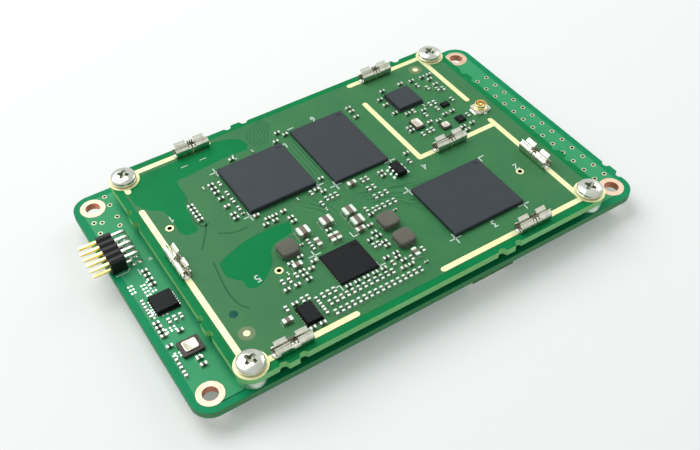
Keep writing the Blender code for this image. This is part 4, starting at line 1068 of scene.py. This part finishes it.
def make_logic_chip():
    """The six-leg package: black body and tinned gull-wing legs."""
    x, y, high = local_place("logic_chip", MODULE_AT)
    half_x, half_y = 0.8 * MM, 1.45 * MM
    body = bmesh.new()
    levels = ((0.09 * MM, 0.12 * MM), (0.0, high * 0.5), (0.0, high * 0.56),
              (0.07 * MM, high - 0.04 * MM), (0.11 * MM, high))
    layered(body, half_x, half_y, 0.06 * MM, levels, 2, x, y)
    piece("logic_package", body, (MOULD_BLACK,), ("logic_chip",), MODULE_AT)
    legs = bmesh.new()
    waist, foot = high * 0.53, 0.09 * MM
    for side in (-1, 1):
        line = bent([(x + side * out * MM, up) for out, up in (
            (0.7, waist), (1.0, waist), (1.1, foot), (1.34, foot))])
        for column in (-1, 0, 1):
            at = y + column * LEG_PITCH
            folded_sheet(legs, line, at - LEG_HALF, at + LEG_HALF, LEG_SHEET, 0, "y")
            block(legs, x + side * 1.28 * MM, at, 0.24 * MM, 0.26 * MM, 0.0, 0.05 * MM)
    piece("logic_legs", legs, (TIN,), at=MODULE_AT)


EDGE_LAND_HALF = 0.13 * MM
EDGE_LAND_HEIGHT = 0.09 * MM


def add_edge_lands(shape, node, level, counts, reach=0.1 * MM, pitch=0.5 * MM):
    """Short solder lands that show round a flat package; counts are along X and along Y."""
    x, y, _ = local_place(node, level)
    half = size_of(node) / 2
    for along_x, count in ((True, counts[0]), (False, counts[1])):
        for i in range(count):
            shift = (i - (count - 1) / 2) * pitch
            for side in (-1, 1):
                if along_x:
                    where = (x + shift, y + side * half.y, EDGE_LAND_HALF, reach)
                else:
                    where = (x + side * half.x, y + shift, reach, EDGE_LAND_HALF)
                block(shape, *where, 0.0, EDGE_LAND_HEIGHT)


def make_lands():
    """The lands that show round the flat packages."""
    lands = bmesh.new()
    for node, counts in (("radio_chip", (8, 8)), ("regulator_chip", (4, 5)), ("power_chip", (11, 11)),
                         ("amplifier_chip", (2, 2)), ("switch_chip", (2, 1))):
        add_edge_lands(lands, node, MODULE_AT, counts)
    # These lands take the darker solder, partly painted shade at the packages' edges.
    piece("module_chip_lands", lands, (DULL_SOLDER_AND_SHADE,), at=MODULE_AT)
    lands = bmesh.new()
    add_edge_lands(lands, "carrier_chip", CARRIER_AT, (6, 6), 0.16 * MM)
    piece("carrier_chip_lands", lands, (SOLDER,), at=CARRIER_AT)


# Free lands on the carrier, in pairs: first place, step and count, all along x and y.
FREE_LANDS = ((-36.6, -3.6, 0.62, -0.1, 5), (-36.7, -4.5, 0.62, -0.1, 4), (-35.6, 1.6, 0.0, -0.7, 4),
              (-34.6, 1.9, 0.0, -0.7, 4), (-36.2, -7.9, 0.62, 0.0, 3), (-36.9, -12.3, 0.6, -0.1, 4),
              (-34.4, -12.7, 0.0, -0.6, 3), (-37.3, 2.4, 0.0, -0.7, 3))


def make_free_lands():
    """Pairs of tinned lands without a part on them."""
    lands = bmesh.new()
    for x, y, step_x, step_y, count in FREE_LANDS:
        for i in range(count):
            for side in (-1, 1):
                across = side * 0.24 if step_x == 0.0 else 0.0
                along = side * 0.28 if step_x != 0.0 else 0.0
                block(lands, (x + i * step_x + across) * MM, (y + i * step_y + along) * MM,
                      0.15 * MM, 0.17 * MM, 0.0, LAND_HEIGHT)
    piece("carrier_free_lands", lands, (TIN,), at=CARRIER_AT)


# Share of each lidded part that its metal lid covers, and of its height that its base takes.
LIDDED_PARTS = {"radio_crystal": (0.84, 0.6), "radio_filter": (0.8, 0.6),
                "carrier_crystal": (0.66, 0.7)}


def make_lidded_parts():
    """Two crystals and a filter: a dark ceramic base with a soldered metal lid."""
    for node, (cover, split) in LIDDED_PARTS.items():
        level = CARRIER_AT if node.startswith("carrier") else MODULE_AT
        x, y, high = local_place(node, level)
        half = size_of(node) / 2
        edge = 0.05 * MM
        base = bmesh.new()
        levels = ((0.0, SEAT), (0.0, high * split - edge), (edge, high * split))
        layered(base, half.x, half.y, 0.16 * MM, levels, 3, x, y)
        piece(f"{node}_base", base, (CERAMIC_DARK,), at=level)
        lid = bmesh.new()
        levels = ((0.0, high * split), (0.0, high - 2 * edge), (edge * 0.6, high - edge * 0.5),
                  (edge * 2.0, high), (edge * 3.2, high), (edge * 4.0, high - edge * 0.5))
        layered(lid, half.x * cover, half.y * cover, 0.3 * MM, levels, 4, x, y)
        piece(f"{node}_lid", lid, (LID,), (node,), level)


# Pin header.
HEADER_COLUMNS = 5
HEADER_NOTCH = 0.36 * MM
HEADER_BEVEL = 0.06 * MM
PIN_HALF = 0.2 * MM
PIN_TAPER = 0.25 * MM
HEADER_SOLDER = ((0.44, 0.0), (0.34, 0.05), (0.26, 0.14), (0.21, 0.26))


def make_header():
    """The notched black body, pins that are gold outside it, and tinned tails with solder."""
    low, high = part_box("header_body")
    length = high.y - low.y
    pitch = length / HEADER_COLUMNS
    height = high.z - low.z
    section = []
    for column in range(HEADER_COLUMNS):
        y = -length / 2 + column * pitch
        section += [(y, -HEADER_NOTCH), (y + HEADER_NOTCH, 0.0), (y + pitch - HEADER_NOTCH, 0.0),
                    (y + pitch, -HEADER_NOTCH)]
    section = section[:1] + [point for before, point in zip(section, section[1:]) if point != before]
    outline = [(y, height / 2 + up) for y, up in section] + [(length / 2, -height / 2),
                                                            (-length / 2, -height / 2)]
    body = bmesh.new()
    rings = []
    for x, inset in ((low.x, HEADER_BEVEL), (low.x + HEADER_BEVEL, 0.0),
                     (high.x - HEADER_BEVEL, 0.0), (high.x, HEADER_BEVEL)):
        across, tall = 1 - 2 * inset / length, 1 - 2 * inset / height
        rings.append([(x, y * across, z * tall) for y, z in outline])
    loft(body, rings)
    middle = Vector((0.0, (low.y + high.y) / 2, (low.z + high.z) / 2))
    piece("header_housing", body, (BLACK_PLASTIC,), ("header_body",), middle)
    pins, tails, fillets = bmesh.new(), bmesh.new(), bmesh.new()
    nodes = nodes_named("header_pin")
    split = (low.x + high.x) / 2
    for node in nodes:
        start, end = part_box(node)
        y, z, leg = (start.y + end.y) / 2, end.z - PIN_HALF, end.x - PIN_HALF
        tips = [(x, half) for x, half in ((start.x, PIN_HALF * 0.45), (start.x + PIN_TAPER, PIN_HALF),
                                          (split, PIN_HALF))]
        loft(pins, [[(x, y + a * half, z + b * half) for a, b in SQUARE] for x, half in tips])
        line = bent([(split, z), (leg, z), (leg, start.z)], 5, 0.16)
        folded_sheet(tails, line, y - PIN_HALF, y + PIN_HALF, 2 * PIN_HALF, 0, "y")
        for level, way in ((CARRIER_AT.z, 1), (CARRIER_AT.z - BOARD_THICKNESS, -1)):
            profile = [(radius, way * up) for radius, up in spots(HEADER_SOLDER)]
            turned(fillets, profile, SMALL_STEPS, leg, y, level)
    piece("header_pins", pins, (GOLD,), nodes)
    piece("header_tails", tails, (TIN_BRIGHT,))
    piece("header_solder", fillets, (SOLDER,))


# Contacts of the connectors under the carrier.
CONTACT_COUNT = 24
CONTACT_PITCH = 0.8 * MM
RIB_HALF = 0.72 * MM


def make_host_contacts():
    """Gold contacts along both sides of the two connectors' ribs."""
    for node in ("host_connector_left", "host_connector_right"):
        low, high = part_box(node)
        x, y = (low.x + high.x) / 2, (low.y + high.y) / 2
        contacts = bmesh.new()
        for side in (-1, 1):
            for i in range(CONTACT_COUNT):
                shift = (i - (CONTACT_COUNT - 1) / 2) * CONTACT_PITCH
                block(contacts, x + side * RIB_HALF, y + shift, 0.04 * MM, 0.17 * MM,
                      low.z + 0.42 * MM, low.z + 1.8 * MM)
        piece(f"{node}_contacts", contacts, (GOLD,))


def make_coax():
    """Cream base with solder tabs, a grooved gold shell and its centre pin."""
    low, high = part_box("coax_base")
    x, y, _ = local_place("coax_base", MODULE_AT)
    half = (high.x - low.x) / 2
    top = high.z - MODULE_AT.z
    base = bmesh.new()
    levels = ((0.0, SEAT), (0.0, top - 0.06 * MM), (0.06 * MM, top))
    layered(base, half, half, 0.3 * MM, levels, 4, x, y)
    piece("coax_housing", base, (PALE_PLASTIC,), ("coax_base",), MODULE_AT)
    tabs = bmesh.new()
    for side in (-1, 1):
        block(tabs, x + side * half, y, 0.28 * MM, 0.75 * MM, 0.0, 0.16 * MM, 0.03 * MM)
        block(tabs, x + side * half, y, 0.42 * MM, 0.85 * MM, 0.0, 0.05 * MM)
    block(tabs, x, y - half, 0.3 * MM, 0.3 * MM, 0.0, 0.14 * MM, 0.03 * MM)
    piece("coax_tabs", tabs, (TIN_BRIGHT,), at=MODULE_AT)
    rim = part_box("coax_shell")[1].z - MODULE_AT.z
    outer, wall, groove = size_of("coax_shell").x / 2, 0.16 * MM, 0.09 * MM
    rise = rim - top
    shell = bmesh.new()
    profile = ((outer - wall, top - 0.05 * MM), (outer + 0.12 * MM, top - 0.05 * MM),
               (outer + 0.12 * MM, top + 0.06 * MM), (outer, top + 0.1 * MM),
               (outer, top + rise * 0.42), (outer - groove, top + rise * 0.5),
               (outer - groove, top + rise * 0.64), (outer, top + rise * 0.72),
               (outer, rim - 0.04 * MM), (outer - 0.05 * MM, rim),
               (outer - wall + 0.03 * MM, rim), (outer - wall, rim - 0.05 * MM))
    turned(shell, profile, ROUND_STEPS, x, y, cyclic=True)
    turned(shell, ((outer - wall, top), (outer - wall, top + 0.05 * MM), (0.6 * MM, top + 0.06 * MM),
                   (0.55 * MM, top)), ROUND_STEPS, x, y, cyclic=True)
    pin = 0.22 * MM
    turned(shell, ((pin, top), (pin, rim - 0.2 * MM), (pin * 0.75, rim - 0.08 * MM),
                   (pin * 0.3, rim - 0.03 * MM)), SMALL_STEPS, x, y)
    piece("coax_contacts", shell, (GOLD_PALE,), ("coax_shell", "coax_pin"),
          MODULE_AT)


def make_cross(shape, x, y, arms, reach=0.95 * MM, width=0.19 * MM):
    """Thin printed bars from a point towards the named sides, drawn as one flat mark."""
    short, long = width / 2, reach / 2 + width / 2
    for dx, dy in arms:
        block(shape, x * MM + dx * reach / 2, y * MM + dy * reach / 2, long if dx else short,
              long if dy else short, 0.0, SILK_HEIGHT if dx else SILK_HEIGHT * 0.98)


ALL_ARMS = ((1, 0), (-1, 0), (0, 1), (0, -1))
CROSSES = (
    (-16.85, 14.6, ALL_ARMS), (-16.9, 3.05, ALL_ARMS), (-4.8, 3.15, ALL_ARMS),
    (-4.2, 14.6, ((-1, 0), (0, -1))), (-2.4, 1.65, ALL_ARMS), (7.85, 1.7, ALL_ARMS),
    (-2.0, 17.35, ((1, 0),)), (6.4, -5.65, ALL_ARMS), (6.4, -17.65, ALL_ARMS),
    (19.4, -17.65, ALL_ARMS), (20.2, -5.5, ((1, 0), (0, -1))), (-12.8, -9.15, ALL_ARMS),
    (-6.05, -9.1, ((1, 0), (0, 1))), (-12.8, -16.0, ((-1, 0), (0, -1))), (-6.05, -16.0, ALL_ARMS),
)


# Plain digits as strokes in a box one wide and two high.
DIGITS = {
    "1": (((0.1, 1.5), (0.6, 2.0), (0.6, 0.0)),),
    "2": (((0.0, 1.6), (0.2, 2.0), (0.8, 2.0), (1.0, 1.5), (0.0, 0.0), (1.0, 0.0)),),
    "3": (((0.0, 2.0), (1.0, 2.0), (0.45, 1.15), (1.0, 0.7), (0.7, 0.0), (0.0, 0.1)),),
    "4": (((0.75, 0.0), (0.75, 2.0), (0.0, 0.6), (1.1, 0.6)),),
    "5": (((1.0, 2.0), (0.1, 2.0), (0.1, 1.15), (0.7, 1.15), (1.0, 0.6), (0.7, 0.0), (0.0, 0.1)),),
    "6": (((0.9, 2.0), (0.2, 1.3), (0.1, 0.4), (0.4, 0.0), (0.9, 0.2), (0.9, 0.9), (0.2, 0.9)),),
    "7": (((0.0, 2.0), (1.0, 2.0), (0.4, 0.0)),),
}
DIGIT_WIDTH = 0.6 * MM
SILK_LINE = 0.19 * MM
# Digit, and the place of its lower left corner as it is read.
MODULE_DIGITS = (("1", -26.9, 9.6), ("2", 24.2, -9.9), ("3", 13.4, -17.8), ("4", 12.0, -1.8),
                 ("5", -21.6, -7.9), ("6", 3.2, 18.0), ("7", -12.4, 16.9))
EDGE_DASHES = (((-21.0, 18.6), (-19.8, 18.6)), ((-17.7, 18.6), (-16.5, 18.6)))
CARRIER_MARKS = (((-38.18, 5.27), (-36.37, 5.25), (-35.81, 5.82)), ((-32.8, 5.7), (-32.2, 5.7)),
                 ((-32.8, 5.7), (-32.5, 6.2)), ((-32.2, 5.7), (-32.5, 6.2)))
FIDUCIALS = ((-27.8, -16.2), (25.3, 19.1))
DOT_RADIUS = 0.5 * MM
DOT_OPENING = 1.2 * MM
PLUG_AT = (-27.8, -12.3)
PLUG_RADIUS = 0.66 * MM


def add_digit(shape, digit, x, y):
    """A digit drawn as flat strokes, turned to be read from the board's back edge."""
    unit = -DIGIT_WIDTH
    for stroke in DIGITS[digit]:
        line = [(x * MM + px * unit, y * MM + py * unit) for px, py in stroke]
        ribbon(shape, line, SILK_LINE, 0.0, SILK_HEIGHT)


def make_legend():
    """White ink: corner marks of the packages, plain digits, dashes, and marks on the carrier."""
    marks = bmesh.new()
    for x, y, arms in CROSSES:
        make_cross(marks, x, y, arms)
    for digit, x, y in MODULE_DIGITS:
        add_digit(marks, digit, x, y)
    for line in EDGE_DASHES:
        ribbon(marks, spots(line), SILK_LINE * 0.7, 0.0, SILK_HEIGHT)
    piece("module_legend_marks", marks, (SILK,), at=MODULE_AT)
    marks = bmesh.new()
    for line in CARRIER_MARKS:
        ribbon(marks, spots(line), SILK_LINE * 0.8, 0.0, SILK_HEIGHT)
    add_digit(marks, "1", -34.6, 5.0)
    piece("carrier_legend_marks", marks, (SILK,), at=CARRIER_AT)
    dots, halos = bmesh.new(), bmesh.new()
    for x, y in spots(FIDUCIALS):
        turned(dots, ((DOT_RADIUS, 0.0), (DOT_RADIUS, LAND_HEIGHT * 0.6),
                      (0.42 * MM, LAND_HEIGHT * 0.8)), SMALL_STEPS, x, y)
        turned(halos, ((DOT_OPENING, 0.0), (DOT_OPENING, 0.006 * MM)), ROUND_STEPS, x, y)
    piece("locating_dots", dots, (GOLD_STRIP,), at=MODULE_AT)
    piece("locating_dot_openings", halos, (MASK_HALO,), at=MODULE_AT)
    plug = bmesh.new()
    turned(plug, ((PLUG_RADIUS, 0.0), (PLUG_RADIUS - 0.02 * MM, 0.008 * MM)), ROUND_STEPS,
           *spots([PLUG_AT])[0])
    piece("plugged_hole", plug, (MASK_PLUG,), at=MODULE_AT)


# Buried tracks that show through the mask as fine lines: dark ones beside copper, light ones on it.
TRACK_WIDTH = 0.12 * MM
TRACK_HEIGHT = 0.008 * MM
CHEVRONS = {"outer": ((-4.4, 22.3), (-8.3, 20.5), (-8.9, 18.6), (-8.8, 16.7)),
            "inner": ((-3.8, 20.2), (-5.2, 18.5), (-5.9, 17.4), (-6.4, 16.3))}
CHEVRON_COUNT = 7
DARK_TRACKS = (
    ((-23.0, 5.6), (-24.0, 3.8), (-25.0, 2.3), (-26.1, 0.8)),
    ((-23.2, 12.2), (-23.7, 10.9), (-24.1, 9.1), (-24.4, 7.2), (-24.3, 5.5), (-23.6, 4.8),
     (-22.6, 5.3)),
    ((-25.8, -2.2), (-26.1, -4.4), (-26.5, -6.9), (-26.6, -9.4), (-26.3, -11.3), (-25.4, -12.6)),
    ((-22.6, 2.6), (-20.8, 1.4), (-18.2, 1.2)),
)
TRACK_FANS = (
    (((-0.9, -1.2), (3.4, -2.9), (8.6, -3.4)), ((0.2, -4.6), (4.0, -6.4), (6.0, -10.4)), 8),
    (((4.5, -2.2), (7.6, -4.0), (12.2, -4.4)), ((4.6, -7.6), (6.8, -9.4), (9.4, -9.9)), 6),
    (((-9.2, -0.2), (-7.6, -1.8), (-7.3, -3.9)), ((-6.6, 1.2), (-5.2, -1.6), (-4.9, -3.6)), 7),
    (((-2.3, 5.6), (-2.5, 10.2), (-2.4, 14.4)), ((-4.4, 5.6), (-4.3, 10.2), (-4.4, 13.8)), 7),
)


def between(first, last, share):
    """A line this share of the way from the first line to the last one."""
    return [Vector(a).lerp(Vector(b), share) * MM for a, b in zip(first, last)]


def make_tracks():
    """Tracks in the module's copper, as thin raised lines in a darker or lighter mask."""
    dark, light, seams = bmesh.new(), bmesh.new(), bmesh.new()
    for i in range(CHEVRON_COUNT):
        line = between(CHEVRONS["outer"], CHEVRONS["inner"], i / (CHEVRON_COUNT - 1))
        ribbon(dark, bent(line), TRACK_WIDTH, 0.0, TRACK_HEIGHT)
    for line in DARK_TRACKS:
        ribbon(seams, bent(spots(line)), TRACK_WIDTH * 2.6, 0.0, TRACK_HEIGHT * 0.6)
    for first, last, count in TRACK_FANS:
        for i in range(count):
            target = dark if i % 2 else light
            line = bent(between(first, last, i / (count - 1)), 2, 0.2)
            ribbon(target, line, TRACK_WIDTH * 0.8, 0.0, TRACK_HEIGHT)
    piece("dark_tracks", dark, (MASK_GAP,), at=MODULE_AT)
    piece("light_tracks", light, (MASK_TRACE,), at=MODULE_AT)
    piece("pour_seams", seams, (MASK_SEAM,), at=MODULE_AT)


def repaint(node, *finishes):
    """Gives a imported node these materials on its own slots."""
    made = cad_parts[node]
    made.data.materials.clear()
    for finish in finishes:
        made.data.materials.append(finish)


def finish_packed_nodes():
    """The plain packages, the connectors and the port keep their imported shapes."""
    for node in ("processor_chip", "memory_chip", "storage_chip", "radio_chip"):
        repaint(node, MOULD)
    for node in ("power_chip", "regulator_chip", "amplifier_chip", "switch_chip", "carrier_chip"):
        repaint(node, MOULD_BLACK)
    for node in nodes_named("link_", "host_", "port_tongue"):
        repaint(node, BLACK_PLASTIC)
    repaint("port_shell", STEEL)


def seen_directly(tree):
    """1 where the table or room is seen by the camera or in a reflection, and 0 for its light."""
    path = new_node(tree, "LightPath")
    mirrored = math_node(tree, "MAXIMUM", path.outputs["Is Glossy Ray"],
                         path.outputs["Is Transmission Ray"])
    return math_node(tree, "MAXIMUM", path.outputs["Is Camera Ray"], mirrored)


# Table, room, lamps and camera: a lamp has its place, its side and its power; the camera's turn is
# its azimuth, elevation and roll in degrees, and its place counts from the module's centre.
TABLE_HALF = 3.0
TABLE_LEVELS = (-0.02, -0.0001)
TABLE_COLOUR = (0.87, 0.88, 0.875, 1.0)
TABLE_ROUGHNESS = 0.9
TABLE_SHEEN = 0.1
TABLE_GLOW = (0.97, 1.0, 0.985, 1.0)
TABLE_GLOW_STRENGTH = 0.2
ROOM_COLOUR = (0.97, 1.0, 1.0, 1.0)
ROOM_LIGHT = 0.34
ROOM_SEEN = 0.66
LAMPS = (("softbox_above", (-0.12, 0.28, 0.42), 0.45, 1.8),
         ("softbox_right", (0.45, 0.1, 0.3), 0.3, 0.42))
SENSOR_WIDTH = 36.0
FOCAL_PIXELS = 923.93
FRAME_PIXELS = 700
CAMERA_TURN = (-32.189, 46.281, -0.713)
CAMERA_AT = (-56.24, -87.90, 100.24)


def make_table():
    """A plain white table top."""
    floor = bmesh.new()
    loft(floor, [[(sx * TABLE_HALF, sy * TABLE_HALF, z) for sx, sy in SQUARE] for z in TABLE_LEVELS])
    table = new_object("table_top", mesh_of(floor, "table_top"))
    made = Finish("white_table", TABLE_ROUGHNESS, sheen=TABLE_SHEEN)
    glow = math_node(made.tree, "MULTIPLY", seen_directly(made.tree), TABLE_GLOW_STRENGTH)
    for socket, value in (("Base Color", TABLE_COLOUR), ("Emission Color", TABLE_GLOW),
                          ("Emission Strength", glow)):
        feed(made.tree, value, made.shader.inputs[socket])
    table.data.materials.append(made.material)


def make_room():
    """Even light from all round, and two soft lamps above and to the right."""
    world = bpy.data.worlds.new("soft_room")
    bpy.context.scene.world = world
    world.use_nodes = True
    tree = world.node_tree
    sky = tree.nodes["Background"]
    sky.inputs["Color"].default_value = ROOM_COLOUR
    link(tree, scaled(tree, seen_directly(tree), ROOM_SEEN, ROOM_LIGHT), sky.inputs["Strength"])
    for name, at, side, power in LAMPS:
        lamp = bpy.data.lights.new(name, "AREA")
        lamp.shape = "SQUARE"
        lamp.size = side
        lamp.energy = power
        holder = new_object(name, lamp)
        holder.location = at
        holder.rotation_euler = (-Vector(at)).to_track_quat("-Z", "Y").to_euler()


def make_camera():
    """The photograph's camera."""
    lens = bpy.data.cameras.new("photo_camera")
    lens.sensor_width = SENSOR_WIDTH
    lens.lens = FOCAL_PIXELS / FRAME_PIXELS * lens.sensor_width
    lens.clip_start = 0.005
    lens.clip_end = 20.0
    azimuth, elevation, roll = (math.radians(value) for value in CAMERA_TURN)
    back = Vector((math.sin(azimuth) * math.cos(elevation), -math.cos(azimuth) * math.cos(elevation),
                   math.sin(elevation)))
    right = Vector((0, 0, 1)).cross(back).normalized()
    turn = Matrix((right, back.cross(right), back)).transposed().to_4x4()
    camera = new_object("photo_camera", lens)
    at = MODULE_AT + Vector(CAMERA_AT) * MM
    camera.matrix_world = Matrix.Translation(at) @ turn @ Matrix.Rotation(roll, 4, "Z")
    bpy.context.scene.camera = camera
    bpy.context.scene.view_settings.view_transform = "Standard"


make_table()
make_room()
make_camera()
make_carrier_board()
make_module_board()
make_chips("module", MODULE_ROWS, MODULE_AT, 4)
make_chips("carrier", CARRIER_ROWS, CARRIER_AT, 7)
make_fasteners()
make_clips()
make_coils()
make_logic_chip()
make_lands()
make_free_lands()
make_lidded_parts()
make_header()
make_host_contacts()
make_coax()
make_tracks()
make_legend()
finish_packed_nodes()
